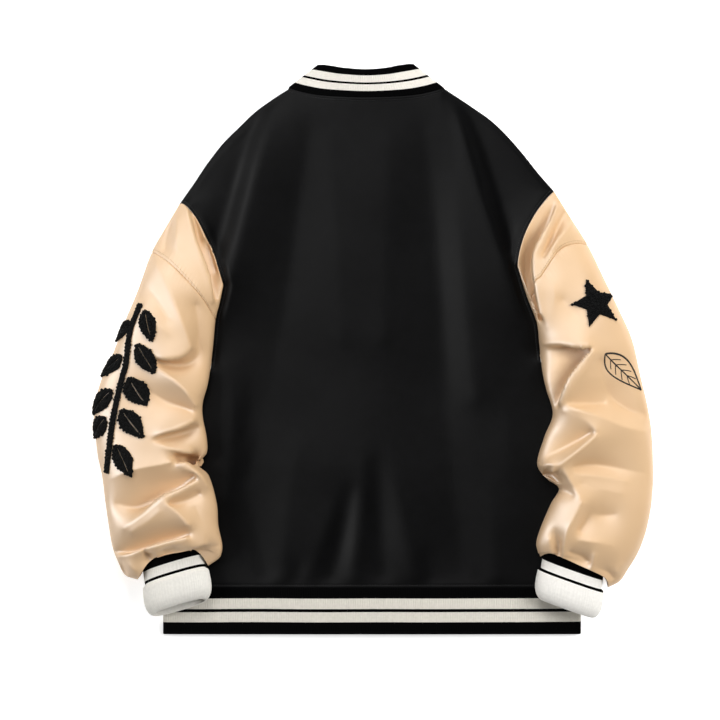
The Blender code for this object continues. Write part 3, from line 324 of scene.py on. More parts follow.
RIGHT_CREASES = (
    (
        (240, 186, 4), (233, 168, 8), (223, 144, 11), (214, 122, 12),
        (213, 107, 12), (216, 81, 11), (220, 58, 8), (223, 36, 5),
    ),
    (
        (237, 187, -2), (230, 169, -9), (220, 146, -15), (211, 122, -20),
        (209, 105, -24), (212, 81, -27), (216, 61, -28), (220, 42, -20),
    ),
    (
        (227, 187, -1), (218, 169, -4), (207, 146, -7), (200, 124, -10),
        (199, 104, -13), (203, 81, -16), (210, 61, -17), (216, 42, -9),
    ),
    ((250, 179, -3), (240, 156, -6), (231, 136, -4), (222, 121, 4)),
    ((262, 164, 4), (245, 148, 7), (232, 131, 8), (223, 116, 9)),
    ((270, 146, -1), (253, 136, 0), (240, 125, 2)),
    ((224, 99, 8), (235, 75, 9), (233, 52, 7), (226, 29, 5)),
    ((245, 65, 3), (265, 46, 3)),
    ((222, 8, 6), (240, 8, 10), (261, 6, 14), (281, 5, 14)),
    ((223, 1, 2), (240, 1, -5), (261, 1, -12), (276, 0, -15)),
    ((281, -4, -13), (270, -20, -15), (256, -39, -14), (244, -58, -10), (238, -72, -4)),
    ((284, -1, 13), (274, -18, 14), (259, -38, 14), (248, -57, 12), (241, -70, 9)),
    ((294, -13, 1), (300, -39, -6), (310, -62, -12), (331, -77, -11), (352, -84, -5)),
    ((254, -68, 3), (278, -69, -5), (300, -68, -10)),
    ((252, -74, 8), (271, -79, 10), (297, -87, 9), (323, -98, 6), (352, -105, 2)),
    ((246, -78, 7), (263, -84, 8), (278, -93, 10), (289, -103, 12)),
    ((226, -137, -1), (245, -127, -5), (265, -116, -5), (281, -106, 2)),
    ((232, -155, 7), (246, -144, 11), (266, -129, 13), (288, -110, 13)),
    (
        (260, -151, 0), (271, -149, -6), (286, -148, -9),
        (304, -150, -9), (330, -155, -5), (353, -159, -2),
    ),
    ((258, -160, 5), (273, -161, 3), (297, -163, 1), (330, -170, 0)),
    ((268, -172, 4), (291, -178, 2), (323, -185, 1)),
    ((220, -150, 6), (228, -147, 9), (236, -148, 10)),
    ((223, -160, -12), (232, -162, -15), (241, -170, -9)),
    ((246, -153, 8), (254, -166, 9), (262, -181, 9), (268, -191, 11)),
    ((235, -195, 1), (248, -182, 1), (258, -187, 4)),
    ((270, -195, 12), (262, -212, 12), (253, -229, 11), (248, -247, 9), (246, -268, 5)),
    ((284, -203, 0), (277, -219, -5), (268, -233, -4)),
    ((285, -212, -4), (299, -213, -7), (313, -212, -5)),
    ((262, -244, 4), (284, -247, 6), (310, -252, 3)),
    ((255, -260, -2), (270, -266, -5), (279, -273, -5)),
    ((287, -263, 5), (285, -273, 5), (283, -282, 3)),
    ((235, -230, 1), (239, -246, -4), (241, -263, -6)),
    ((228, -243, 3), (232, -263, 2)),
    ((292, -282, 0), (304, -286, -5), (311, -294, -5)),
    ((323, -276, 3), (315, -286, 2)),
)
LEATHER_SOFT = 5  # rounds of smoothing that take the edge off the leather's creases
FLEECE_SOFT = 90  # the same for the body
SKIN_STEPS = (16, 8, 4, 2, 1)  # rasters that the stretched skin is worked out on
SKIN_ROUNDS = 90
SKIN_MARGIN = 8.0
LEAN = 0.55  # how much a steep side leans over its foot
LEAN_SOFT = 40
LEAN_MOST = 6.0
CLEAR = 4.0  # least air inside a sleeve

# Soft uneven waves: height, length and the number of their draw
RIPPLE_PARTS = 6
RIPPLE_PEAK = 3.5  # about the highest that the parts add up to
FLEECE_WAVES = (0.8, 120, 5)
LEATHER_WAVES = (0.5, 45, 3)
FRONT_WAVES = (1.2, 110, 8)
FRONT_FLAT = 0.2  # how much of the fronts' waves stays on the surface they lie on
STRIPE_WAVES = (0.012, 150, 4)  # height as a share of the band's width

# Topstitching beside the seams
STITCH_IN = 4.0
STITCH_DEEP = 0.4
STITCH_GROOVE = 0.9  # half width of the groove it lies in
STITCH_PITCH = 3.2
STITCH_LONG = 0.85  # share of the pitch
STITCH_WIDE = 0.55
STITCH_OUT = 0.1  # how far its middle is from the cloth
CROSS_STITCH = 0.09  # rows from the cross seam to its topstitching
SEAM_TUCK = 0.5  # how far a knitted band's edge is sewn under its neighbour

# The cross seam of the sleeves
ROW_REACH = 33.0  # length of a row there
CROSS_ROLL = 1.3  # how far the leather rolls down, and
CROSS_ROLL_REACH = 2.6  # the distance in which it does so
CAP_PUCKER = 0.42  # depth of the puckers above it
LOWER_PUCKER = 0.2  # and below it
PUCKER_FADE = 5.0
PUCKER_TURN = 1.7  # radians a column
THINNEST = 0.2  # of the leather where it is pressed on the floor
FLOOR_DROP = 0.3  # of the floor, so that it shares no plane with what lies on it

# Cuff tube along its axis: distance from its start inside the sleeve, how far its outside stands out
CUFF_PROFILE = (
    (0, 0),
    (12, 0.8),
    (26, 1.0),
    (32, 0.8),
    (33, 1.6),
    (34, 3.6),
    (36.5, 4.6),
    (48, 5.4),
    (56, 5.2),
    (61, 4.4),
    (65, 3.0),
    (68.5, 1.0),
    (71, -1.4),
    (72.5, -4.0),
)
CUFF_WALL = 3.0
CUFF_HALF_DEPTH = 12.0
CUFF_SQUARE = 0.8  # 1 is an ellipse, less is squarer
CUFF_RINGS = 30
# side, x and y of the start, x and y of the mouth, tilt of its rings in degrees, half width, how far
# the top of a ring lies back
LEFT_CUFF = (-1, -258, -262, -248, -333, 16.5, 40, 4.5)
RIGHT_CUFF = (1, 263, -264, 252, -334, 19.5, 40.5, -1.5)
CUFF_MID_Z = 27.5
CUFF_TURN = 33.0  # where the band is turned back
CUFF_RIBS = 78
CUFF_RELIEF = (0.6, 0.3)  # share of the ribs' depth inside the sleeve and on the band

# Stripes, each a share of the way across the band: from, to
COLLAR_BLACK = ((-0.1, 0.24), (0.47, 0.54), (0.785, 1.1))
HEM_BLACK = ((-0.1, 0.23), (0.455, 0.522), (0.738, 1.1))
LEFT_CUFF_BLACK = ((-0.1, 0.215), (0.385, 0.435))
RIGHT_CUFF_BLACK = ((-0.1, 0.278), (0.442, 0.492))
RIB_PITCH = 3.0
RIB_POINTS = 4  # columns for each rib
RIB_DEPTH = 0.25
RIB_INNER = 0.8  # depth of the ribs' inner side as a share of it
# Places across a band in 60ths of its width, close together at its edges
ACROSS_BAND = np.array(
    (0, 0.4, 1.2, 2.6, 5, 8, 12, 17, 23, 29, 35, 41, 47, 52, 55, 57.4, 58.8, 59.6, 60)
) / 60

# Chenille, placed by millimetres along the sleeve and round it from the outer fold
PILE = 3.2
PILE_GAP = 0.3
PAD = PILE - 1.2  # thickness of the backing under the loops
TUFT = 1.75  # radius of one loop of its pile
TUFT_SIZES = (0.8, 1.25)  # smallest and largest, as shares of it
TUFT_SLIM = (0.7, 1.0)  # a loop's width as a share of its length, from and to
TUFT_LOW = 0.9
TUFT_TURN = 6.28
TUFT_STRAY = 0.4
TUFT_PITCH = 2.7
TUFT_ROW = TUFT_PITCH * 0.87
LOOSE = 0.9  # how far the loops stay inside a leaf's outline
PAD_IN = 0.5  # how far the backing stays inside it
PAD_ROWS = 14
PAD_COLUMNS = 6
SLIT = 0.8  # half the gap along a leaf's middle
SLIT_ENDS = (0.12, 0.8)  # shares of the leaf's length between which it keeps loops away
SLIT_SHARE = 0.8  # how much of the gap and one loop stays free of them
LEAF_TIP = 0.1  # width of a leaf's ends as a share of its own
LEAF_BELLY = 0.85  # less than 1 moves a leaf's widest place towards its stalk
LEAF_DOME = 0.45  # how much lower a leaf's edges are
STAR_DOME = 0.3
# The sprig's stem on the left sleeve: along, round
STEM = (
    (146, 34),
    (190, 35),
    (240, 43),
    (290, 47),
    (335, 39),
    (378, 27),
)
STEM_WIDTH = 8.0
STEM_PAD = 1.8
STEM_LOOPS = 1.7
# Its leaves: along, round, lean in degrees from the sleeve's run, length, width
SPRIG_LEAVES = (
    (150, 44, 34, 42, 25),
    (172, 28, -34, 38, 21),
    (196, 48, 46, 46, 28),
    (218, 32, -34, 42, 24),
    (244, 52, 42, 52, 32),
    (266, 37, -34, 44, 26),
    (292, 55, 36, 48, 30),
    (304, 35, -42, 38, 24),
    (340, 46, 20, 46, 27),
)
# Embroidered leaf on the right sleeve: along and round at its tip and at its stalk
EMBROIDERY = (226, 60, 288, 19)
EMBROIDERY_WIDTH = 30.0
SATIN_OUT = 0.25
SATIN_PITCH = 0.55
SATIN_WIDE = 0.62
VEINS = (7, 13, 19, 25)  # points of the middle vein, of its 40, where side veins start
STAR_ALONG = 164.0
STAR_ROUND = 47.0
STAR_RADIUS = 32.0
STAR_NOTCH = 0.46  # inner radius as a share of the outer
STAR_TURN = 8.0  # degrees
STAR_RINGS = (1, 0.8, 0.5, 0.02)  # shares of the radius
STAR_SIDES = 60

# Lights: name, place and size in metres, power, and whether it lights the colour and the gloss
LIGHTS = (
    ("top", (-0.3, 2.1, 1.85), 1.8, 40, True, True),
    ("left", (-2.3, 0.15, 1.7), 1.7, 25, True, True),
    ("right", (2.0, 0.5, 2.0), 1.7, 66, True, False),
    ("left gloss", (-2.3, 0.15, 1.7), 1.7, 85, False, True),
    ("overhead gloss", (-0.2, 0.9, 3.0), 1.4, 22, False, True),
)
CAMERA_X = -14.95
CAMERA_Y = -13.0
CAMERA_HEIGHT = 5200.0
CAMERA_LENS = 200.0


# ---------------------------------------------------------------- curves and grids of points


def spline(table, at):
    """The rows of a table as one smooth curve, read at these row numbers."""
    rows = np.array(table, float)
    slopes = np.gradient(rows, axis=0)
    at = np.clip(np.asarray(at, float), 0, len(rows) - 1)
    first = np.minimum(at.astype(int), len(rows) - 2)
    s = (at - first)[..., None]
    start = rows[first] * (1 + 2 * s) * (1 - s) ** 2 + slopes[first] * s * (1 - s) ** 2
    end = rows[first + 1] * s**2 * (3 - 2 * s) - slopes[first + 1] * s**2 * (1 - s)
    return start + end


def lengths(line):
    """Distance along a line of points to each of them."""
    return np.append(0, np.cumsum(np.linalg.norm(np.diff(line, axis=0), axis=1)))


def points_at(line, length, at):
    """A line's points at these distances along it, which lengths() has measured."""
    return np.stack([np.interp(at, length, part) for part in line.T], axis=-1)


def resample(line, shares):
    """Points at these shares of a line's length."""
    length = lengths(line[:, :2])
    return points_at(line, length, shares * length[-1])


def smooth_line(table):
    return spline(table, np.linspace(0, len(table) - 1, CURVE_POINTS * len(table)))


def dense(line):
    """The same curve with points less than a millimetre apart."""
    return spline(line, np.linspace(0, len(line) - 1, int(2 * lengths(line)[-1]) + 2))


def normals(grid):
    """Unit normals of a grid of points, on the side where columns cross rows."""
    across = np.cross(np.gradient(grid, axis=1), np.gradient(grid, axis=0))
    return across / np.linalg.norm(across, axis=2, keepdims=True)


def nearest(line, x, y):
    """Distance to a line of x, y points, the share of its length there, and the side from -1 to 1."""
    starts = line[:-1, :2]
    steps = np.diff(line[:, :2], axis=0)
    best = np.full(np.shape(x), np.inf)
    share = np.zeros(np.shape(x))
    side = np.zeros(np.shape(x))
    for number, (start, step) in enumerate(zip(starts, steps)):
        dx = x - start[0]
        dy = y - start[1]
        along = np.clip((dx * step[0] + dy * step[1]) / (step @ step), 0, 1)
        dx = dx - along * step[0]
        dy = dy - along * step[1]
        distance = np.hypot(dx, dy)
        nearer = distance < best
        best = np.where(nearer, distance, best)
        share = np.where(nearer, (number + along) / len(steps), share)
        turn = (step[0] * dy - step[1] * dx) / (np.hypot(*step) * np.maximum(distance, 1e-6))
        side = np.where(nearer, turn, side)
    return best, share, side


class Skin:
    """Rises of a skin that is stretched between crease lines and a rim without rise."""

    def __init__(self, creases, rim, softness):
        rim = np.insert(rim, 2, 0, axis=1)
        spots = np.concatenate([rim] + [dense(np.array(line, float)) for line in creases])
        self.corner = spots[:, :2].min(axis=0) - SKIN_MARGIN
        self.size = spots[:, :2].max(axis=0) + SKIN_MARGIN - self.corner
        self.step = SKIN_STEPS[0]
        self.rises = np.zeros(np.ceil(self.size / self.step).astype(int) + 1)
        for step in SKIN_STEPS:
            self.refine(step)
            self.stretch(spots)
        self.soften(softness)
        sharp = self.rises
        self.soften(LEAN_SOFT)
        slope = np.gradient(self.rises, self.step)
        lean = [np.clip(-LEAN * (sharp - self.rises) * part, -LEAN_MOST, LEAN_MOST) for part in slope]
        self.rises = np.stack([sharp, *lean], axis=-1)

    def soften(self, rounds):
        for _ in range(rounds):
            self.rises = 0.5 * self.rises + 0.5 * self.around()

    def refine(self, step):
        """Moves the rises to a finer raster."""
        count = tuple(np.ceil(self.size / step).astype(int) + 1)
        x, y = (self.corner[axis] + step * np.arange(count[axis]) for axis in (0, 1))
        self.rises = self.at(*np.meshgrid(x, y, indexing="ij"))
        self.step = step

    def around(self):
        """Mean of each place's four neighbours."""
        padded = np.pad(self.rises, 1, mode="edge")
        beside = padded[:-2, 1:-1] + padded[2:, 1:-1]
        return (beside + padded[1:-1, :-2] + padded[1:-1, 2:]) / 4

    def stretch(self, spots):
        """Lets the skin settle with its lines and its rim held."""
        cells = np.round((spots[:, :2] - self.corner) / self.step).astype(int)
        flat = np.ravel_multi_index(cells.T, self.rises.shape)
        held = np.bincount(flat, minlength=self.rises.size).reshape(self.rises.shape)
        total = np.bincount(flat, spots[:, 2], self.rises.size).reshape(self.rises.shape)
        for _ in range(SKIN_ROUNDS):
            self.rises = np.where(held > 0, total / np.maximum(held, 1), self.around())

    def at(self, x, y):
        """The rises at these places, and with them how far a steep side leans over its foot."""
        last = np.array(self.rises.shape[:2]) - 1.001
        i, j = (
            np.clip((place - self.corner[axis]) / self.step, 0, last[axis])
            for axis, place in enumerate((x, y))
        )
        row, column = i.astype(int), j.astype(int)
        extra = (1,) * (self.rises.ndim - 2)
        i, j = (part.reshape(part.shape + extra) for part in (i - row, j - column))
        near = self.rises[row, column] * (1 - j) + self.rises[row, column + 1] * j
        far = self.rises[row + 1, column] * (1 - j) + self.rises[row + 1, column + 1] * j
        return near * (1 - i) + far * i


def ripple(x, y, length, seed):
    """Soft uneven waves from -1 to 1, about this long."""
    draw = np.random.default_rng(seed)
    total = np.zeros(np.shape(x))
    for _ in range(RIPPLE_PARTS):
        angle = draw.uniform(0, np.pi)
        wave = length * draw.uniform(0.7, 1.5)
        phase = draw.uniform(0, 2 * np.pi)
        total += np.sin((x * np.cos(angle) + y * np.sin(angle)) * 2 * np.pi / wave + phase)
    return total / RIPPLE_PEAK


def waves(x, y, height, length, seed):
    return height * ripple(x, y, length, seed)


def inside_outline(line, x, y):
    """True where a place is inside the closed line of points."""
    result = np.zeros(np.shape(x), bool)
    for (x1, y1), (x2, y2) in zip(line[:, :2], np.roll(line[:, :2], -1, axis=0)):
        if y1 != y2:
            crosses = (y1 > y) != (y2 > y)
            result ^= crosses & (x < x1 + (y - y1) * (x2 - x1) / (y2 - y1))
    return result


def round_edge(share):
    """Quarter circle: 1 at the edge, 0 from one radius in."""
    return 1 - np.sqrt(1 - (1 - np.clip(share, 0, 1)) ** 2)


# ---------------------------------------------------------------- meshes


def add_piece(name, shape, material):
    mesh = bpy.data.meshes.new(name)
    shape.to_mesh(mesh)
    shape.free()
    mesh.shade_smooth()
    mesh.materials.append(material)
    piece = bpy.data.objects.new(name, mesh)
    bpy.context.scene.collection.objects.link(piece)
    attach(piece, "root")
    return piece


def face_outwards(shape):
    bmesh.ops.recalc_face_normals(shape, faces=shape.faces[:])
    if shape.calc_volume(signed=True) < 0:
        bmesh.ops.reverse_faces(shape, faces=shape.faces[:])


def thicken(shape):
    """Gives the flat shape a second layer at z = 1, closed round the edge."""
    lifted = bmesh.ops.extrude_face_region(shape, geom=shape.faces[:])
    upper = [item for item in lifted["geom"] if isinstance(item, bmesh.types.BMVert)]
    bmesh.ops.translate(shape, vec=(0, 0, 1), verts=upper)


def thick_grid(rows, columns):
    """A closed shell of two layers, each a grid of this many points."""
    shape = bmesh.new()
    bmesh.ops.create_grid(shape, x_segments=columns - 1, y_segments=rows - 1, size=0.5)
    thicken(shape)
    return shape


def place_layers(shape, outside, inside):
    """Moves the shell's layers to two grids of points, and gives each vertex's row and column."""
    rows, columns = outside.shape[:2]
    places = {}
    for vertex in shape.verts:
        column = round((vertex.co.x + 0.5) * (columns - 1))
        row = round((vertex.co.y + 0.5) * (rows - 1))
        places[vertex] = (row, column)
        grid = outside if vertex.co.z > 0.5 else inside
        vertex.co = grid[row, column] * MM
    return places


def wall(name, outside, inside, material, tube=False, uv=None):
    """One closed shell between two grids of points, each rows x columns x 3."""
    shape = thick_grid(*outside.shape[:2])
    if tube:
        rims = [face for face in shape.faces if min(abs(v.co.x) for v in face.verts) > 0.49999]
        bmesh.ops.delete(shape, geom=rims, context="FACES_ONLY")
    layer = shape.loops.layers.uv.new("cloth") if uv is not None else None
    places = place_layers(shape, outside, inside)
    if layer is not None:
        for face in shape.faces:
            for loop in face.loops:
                loop[layer].uv = uv[places[loop.vert]]
    if tube:
        bmesh.ops.remove_doubles(shape, verts=shape.verts[:], dist=1e-7)
    face_outwards(shape)
    return add_piece(name, shape, material)


# ---------------------------------------------------------------- materials


class Finish:
    """A node material with the few steps that these cloths share."""

    def __init__(self, name, colour, roughness):
        self.material = bpy.data.materials.new(name)
        self.material.use_nodes = True
        self.nodes = self.material.node_tree.nodes
        self.links = self.material.node_tree.links
        self.shader = self.nodes["Principled BSDF"]
        self.shader.inputs["Base Color"].default_value = (*colour, 1)
        self.shader.inputs["Roughness"].default_value = roughness
        self.place = self.nodes.new("ShaderNodeTexCoord")
        self.height = None

    def noise(self, scale, detail=3.0):
        node = self.nodes.new("ShaderNodeTexNoise")
        node.inputs["Scale"].default_value = scale
        node.inputs["Detail"].default_value = detail
        self.links.new(self.place.outputs["Object"], node.inputs["Vector"])
        return node.outputs["Fac"]

    def cells(self, scale):
        node = self.nodes.new("ShaderNodeTexVoronoi")
        node.inputs["Scale"].default_value = scale
        self.links.new(self.place.outputs["Object"], node.inputs["Vector"])
        return node.outputs["Distance"]

    def ramp(self, source, low, high, start=0.3, end=0.7):
        """A colour that goes from low to high with the source."""
        node = self.nodes.new("ShaderNodeValToRGB")
        for stop, place, colour in zip(node.color_ramp.elements, (start, end), (low, high)):
            stop.position = place
            stop.color = (*colour, 1)
        self.links.new(source, node.inputs["Fac"])
        return node.outputs["Color"]

    def between(self, source, low, high, start=0.0, end=1.0):
        """A number that goes from low to high with the source."""
        node = self.nodes.new("ShaderNodeMapRange")
        for name, value in zip(("From Min", "From Max", "To Min", "To Max"), (start, end, low, high)):
            node.inputs[name].default_value = value
        self.links.new(source, node.inputs["Value"])
        return node.outputs["Result"]

    def sum(self, operation, first, second=0.0):
        """The result of a sum of two numbers, the first of them a socket."""
        node = self.nodes.new("ShaderNodeMath")
        node.operation = operation
        self.links.new(first, node.inputs[0])
        if isinstance(second, float):
            node.inputs[1].default_value = second
        else:
            self.links.new(second, node.inputs[1])
        return node.outputs[0]

    def colour(self, source):
        self.links.new(source, self.shader.inputs["Base Color"])

    def rough(self, source):
        self.links.new(source, self.shader.inputs["Roughness"])

    def bump(self, source, depth_mm, strength=1.0):
        """Adds relief of this depth."""
        node = self.nodes.new("ShaderNodeBump")
        node.inputs["Strength"].default_value = strength
        node.inputs["Distance"].default_value = depth_mm * MM
        self.links.new(source, node.inputs["Height"])
        if self.height is not None:
            self.links.new(self.height, node.inputs["Normal"])
        self.height = node.outputs["Normal"]
        self.links.new(self.height, self.shader.inputs["Normal"])

    def set(self, **values):
        for name, value in values.items():
            self.shader.inputs[name.replace("_", " ")].default_value = value


def fleece():
    finish = Finish("black bonded fleece", (0.001, 0.001, 0.0011), 0.52)
    finish.colour(finish.ramp(finish.noise(60), (0.0007, 0.0007, 0.0008), (0.0013, 0.0013, 0.0015)))
    finish.bump(finish.noise(1500, 2), 0.12, 0.5)
    finish.bump(finish.noise(260, 4), 0.25, 0.3)
    finish.set(Sheen_Weight=0.003, Sheen_Roughness=0.35, Sheen_Tint=(0.75, 0.8, 0.9, 1))
    finish.set(Specular_IOR_Level=0.1)
    return finish.material


def leather():
    finish = Finish("tan sleeve leather", (0.66, 0.45, 0.27), 0.4)
    finish.colour(finish.ramp(finish.noise(14), (0.64, 0.42, 0.228), (0.69, 0.455, 0.25)))
    finish.rough(finish.between(finish.noise(45), 0.49, 0.56, 0.3, 0.7))
    finish.set(Specular_IOR_Level=1.0, IOR=1.65)
    finish.bump(finish.cells(1100), 0.05, 0.25)
    finish.bump(finish.noise(420, 4), 0.08, 0.25)
    return finish.material


def rib(name, black, white, bump):
    """Rib knit of this white with black stripes at these shares of the way across the band."""
    finish = Finish(name, white, 0.85)
    uv = finish.nodes.new("ShaderNodeSeparateXYZ")
    finish.links.new(finish.place.outputs["UV"], uv.inputs["Vector"])
    stripes = []
    for start, end in black:
        offset = finish.sum("SUBTRACT", uv.outputs["Y"], (start + end) / 2)
        size = finish.sum("ABSOLUTE", offset)
        stripes.append(finish.sum("LESS_THAN", size, (end - start) / 2))
    dark = stripes[0]
    for stripe in stripes[1:]:
        dark = finish.sum("MAXIMUM", dark, stripe)
    shades = ([share * part for part in white] for share in (0.96, 1.04))
    mix = finish.nodes.new("ShaderNodeMix")
    mix.data_type = "RGBA"
    finish.links.new(dark, mix.inputs["Factor"])
    finish.links.new(finish.ramp(finish.noise(300), *shades), mix.inputs[6])
    mix.inputs[7].default_value = (0.0006, 0.0006, 0.0007, 1)
    finish.colour(mix.outputs[2])
    finish.bump(finish.noise(1300, 2), 0.2, bump)
    finish.set(Specular_IOR_Level=0.03)
    return finish.material


def chenille():
    finish = Finish("black chenille pile", (0.004, 0.004, 0.004), 0.9)
    finish.colour(finish.ramp(finish.noise(500), (0.001, 0.001, 0.001), (0.009, 0.009, 0.009)))
    finish.bump(finish.noise(2200, 3), 0.5, 0.8)
    finish.set(Sheen_Weight=0.03, Sheen_Roughness=0.4, Specular_IOR_Level=0.08)
    return finish.material


def thread(name, colour):
    finish = Finish(name, colour, 0.5)
    finish.bump(finish.noise(4000, 1), 0.05, 0.5)
    return finish.material


def metal():
    finish = Finish("snap cap metal", (0.60, 0.58, 0.55), 0.28)
    finish.rough(finish.between(finish.noise(900), 0.2, 0.36))
    finish.set(Metallic=1.0)
    return finish.material


# ---------------------------------------------------------------- the jacket's surfaces


class Sleeve:
    """A laid sleeve: its rows run from the armhole to the cuff, its columns from the underarm seam
    along the surface it lies on, round the outer fold and back over the top."""

    def __init__(self, side, table, creases):
        self.side = side
        self.table = table
        self.skin = Skin(creases, self.rim(), LEATHER_SOFT)

    def rim(self):
        """Places along the laid sleeve's two folds and its armhole."""
        rows = np.linspace(0, len(self.table) - 1, FOLD_POINTS)
        folds = self.plan(rows, np.array([0, np.pi]))[:2]
        armhole = self.plan(np.array([0.0]), np.linspace(0, np.pi, CAP_POINTS))[:2]
        x, y = (np.concatenate([fold.ravel(), end.ravel()]) for fold, end in zip(folds, armhole))
        return np.stack([x, y], axis=1)

    def plan(self, rows, turns):
        """x, y, the share of the way across, the width and the row's values, at each row and turn."""
        values = spline(self.table, rows)[:, None, :]
        outer, inner = values[..., 0:2], values[..., 2:4]
        bow, peak, flat = values[..., 4], values[..., 5], values[..., 6]
        span = inner - outer
        width = np.linalg.norm(span, axis=-1)
        share = (1 - np.cos(turns)) / 2 + 0 * width
        back = np.stack([-span[..., 1], span[..., 0]], axis=-1) * -self.side / width[..., None]
        place = outer + span * share[..., None]
        bent = 1 - np.abs(1 - 2 * share ** (np.log(0.5) / np.log(peak))) ** flat
        place = place + back * (bow * bent)[..., None]
        return place[..., 0], place[..., 1], share, width, values

    def top(self, rows, turns, floor=0.0):
        """The upper layer: a flat dome with creases, which stays clear of the floor under it."""
        x, y, share, _, values = self.plan(rows, turns)
        crown, outer_z, top_z = values[..., 7], values[..., 8], values[..., 9]
        side_z = outer_z + (top_z - outer_z) * share
        dome = np.clip(1 - np.abs(1 - 2 * share) ** DOME, 0, 1) ** (1 / DOME)
        rise = crown - (outer_z + top_z) / 2  # of the dome over the line between its edges
        skin = self.skin.at(x, y) * np.clip(2 * dome, 0, 1)[..., None]
        lean = skin[..., 1:] * np.clip(rows, 0, 1)[:, None, None]
        z = side_z + rise * dome + skin[..., 0] + waves(x, y, *LEATHER_WAVES) * dome
        z = np.maximum(z, floor + CLEAR * np.clip(3 * dome, 0, 1))
        return np.stack([x + lean[..., 0], y + lean[..., 1], z], axis=-1)

    def low(self, rows, turns, body):
        """The under layer: it lies on the surface or on the body and is round at its folds."""
        x, y, share, width, values = self.plan(rows, turns)
        outer_z, low_z = values[..., 8], values[..., 10]
        lift = np.clip((rows[:, None] - LIFT_ROW) / (UNDERARM - LIFT_ROW), 0, 1)
        rest = body.rest(x, y) * lift**2 * (3 - 2 * lift)
        low_z = np.maximum(low_z, rest)
        z = rest + (outer_z - rest) * round_edge(share * width / np.minimum(outer_z, FLOOR_CORNER))
        z += (low_z - rest) * round_edge((1 - share) * width / FLOOR_CORNER)
        return np.stack([x, y, np.maximum(z, 0)], axis=-1)

    def grid(self, rows, low_turns, top_turns, body):
        """The sleeve's outside, all round."""
        low = self.low(rows, low_turns, body)
        top = self.top(rows, top_turns, self.low(rows, top_turns, body)[..., 2])
        return np.concatenate([low[:, :-1], top], axis=1)

    def armhole(self, rows, turns):
        """The rim that the back is cut to: over the top of row 0 and down the inner edge."""
        across = self.top(np.array([0.0]), turns)[0]
        down = self.top(rows, turns[-1:])[1:, 0]
        return np.concatenate([across, down])


def hem_height(x):
    """Top of the hem rib's back, where the back panel meets it."""
    return HEM_CROWN - HEM_DROP * (x / HEM_HALF_WIDTH) ** 2


class Body:
    """Outline and height of the body's two layers."""

    def __init__(self, left_armhole, right_armhole):
        first, last = COLLAR_TURNS
        neck = spline(COLLAR, np.linspace(first, last, NECK_POINTS))[:, :3]
        neck[0], neck[-1] = LEFT_SHOULDER[-1], RIGHT_SHOULDER[-1]
        self.neck = neck
        self.left_shoulder = smooth_line(LEFT_SHOULDER)
        self.right_shoulder = smooth_line(RIGHT_SHOULDER)
        self.left = np.concatenate([smooth_line(LEFT_SIDE), left_armhole[::-1]])
        self.right = np.concatenate([smooth_line(RIGHT_SIDE), right_armhole[::-1]])
        self.top = np.concatenate([self.left_shoulder, neck[1:-1], self.right_shoulder[::-1]])
        hem = np.linspace(self.left[0], self.right[0], HEM_POINTS)
        hem[:, 2] = hem_height(hem[:, 0])
        self.hem = hem
        side_shares = np.linspace(0, 1, SIDE_POINTS)
        left, right = (resample(line, side_shares) for line in (self.left, self.right))
        top = resample(self.top, np.linspace(0, 1, TOP_POINTS))
        self.outline = np.concatenate([left, top[1:-1], right[::-1], hem[-2:0:-3], hem[:1]])
        self.skin = Skin(BODY_CREASES, dense(self.outline)[:, :2], FLEECE_SOFT)

    def edge(self, x, y):
        """Distance to the outline and its height: close by at the nearest place, else all round."""
        distance, share, _ = nearest(self.outline, x, y)
        number = share * (len(self.outline) - 1)
        near = np.interp(number, np.arange(len(self.outline)), self.outline[:, 2])
        total = np.zeros(np.shape(x))
        weights = np.zeros(np.shape(x))
        for place_x, place_y, height in self.outline:
            weight = ((x - place_x) ** 2 + (y - place_y) ** 2 + EDGE_BLEND**2) ** -2
            total += weight * height
            weights += weight
        local = np.exp(-distance / EDGE_BLEND)
        return distance, near * local + total / weights * (1 - local)

    def height(self, x, y):
        """Top of the back: it rises from its edges to a plateau, lower towards the hem."""
        distance, edge_z = self.edge(x, y)
        swell = 1 - np.exp(-distance / SWELL)
        plateau = PLATEAU - HEM_SINK * np.clip((SINK_START_Y - y) / SINK_LENGTH, 0, 1)
        relief = self.skin.at(x, y)[..., 0] + waves(x, y, *FLEECE_WAVES)
        return edge_z + (plateau - edge_z) * swell + relief * np.clip(distance / EDGE_CALM, 0, 1)

    def rest(self, x, y):
        """What a sleeve lies on: the back where it reaches, then down to the floor."""
        distance, edge_z = self.edge(x, y)
        over = inside_outline(self.outline, x, y)
        slope = (edge_z + 2 * LAID) * np.clip(1.25 - distance / BESIDE_BODY, 0, 1)
        return np.where(over, np.maximum(self.height(x, y) + LAID, edge_z + 2 * LAID), slope)


def spacing(length, step):
    """Shares of a length: close together near both ends, otherwise about one step apart."""
    fine = np.array(FINE_STEPS)
    count = int((length - 2 * fine[-1]) / step)
    middle = np.linspace(fine[-1], length - fine[-1], count)
    return np.concatenate([fine[:-1], middle, length - fine[-2::-1]]) / length


def patch(bottom, top, left, right, u, v):
    """Places over an area from its four edges, each a row of x, y points (a Coons patch)."""
    u = u[None, :, None]
    v = v[:, None, None]
    ruled = (1 - v) * bottom[None] + v * top[None] + (1 - u) * left[:, None] + u * right[:, None]
    low = (1 - u) * bottom[0] + u * bottom[-1]
    high = (1 - u) * top[0] + u * top[-1]
    return ruled - (1 - v) * low - v * high


def inset(points, distance):
    """A line of x, y points moved to its right by a distance."""
    along = np.gradient(points, axis=0)
    along /= np.linalg.norm(along, axis=1, keepdims=True)
    return points + distance * np.stack([along[:, 1], -along[:, 0]], axis=1)


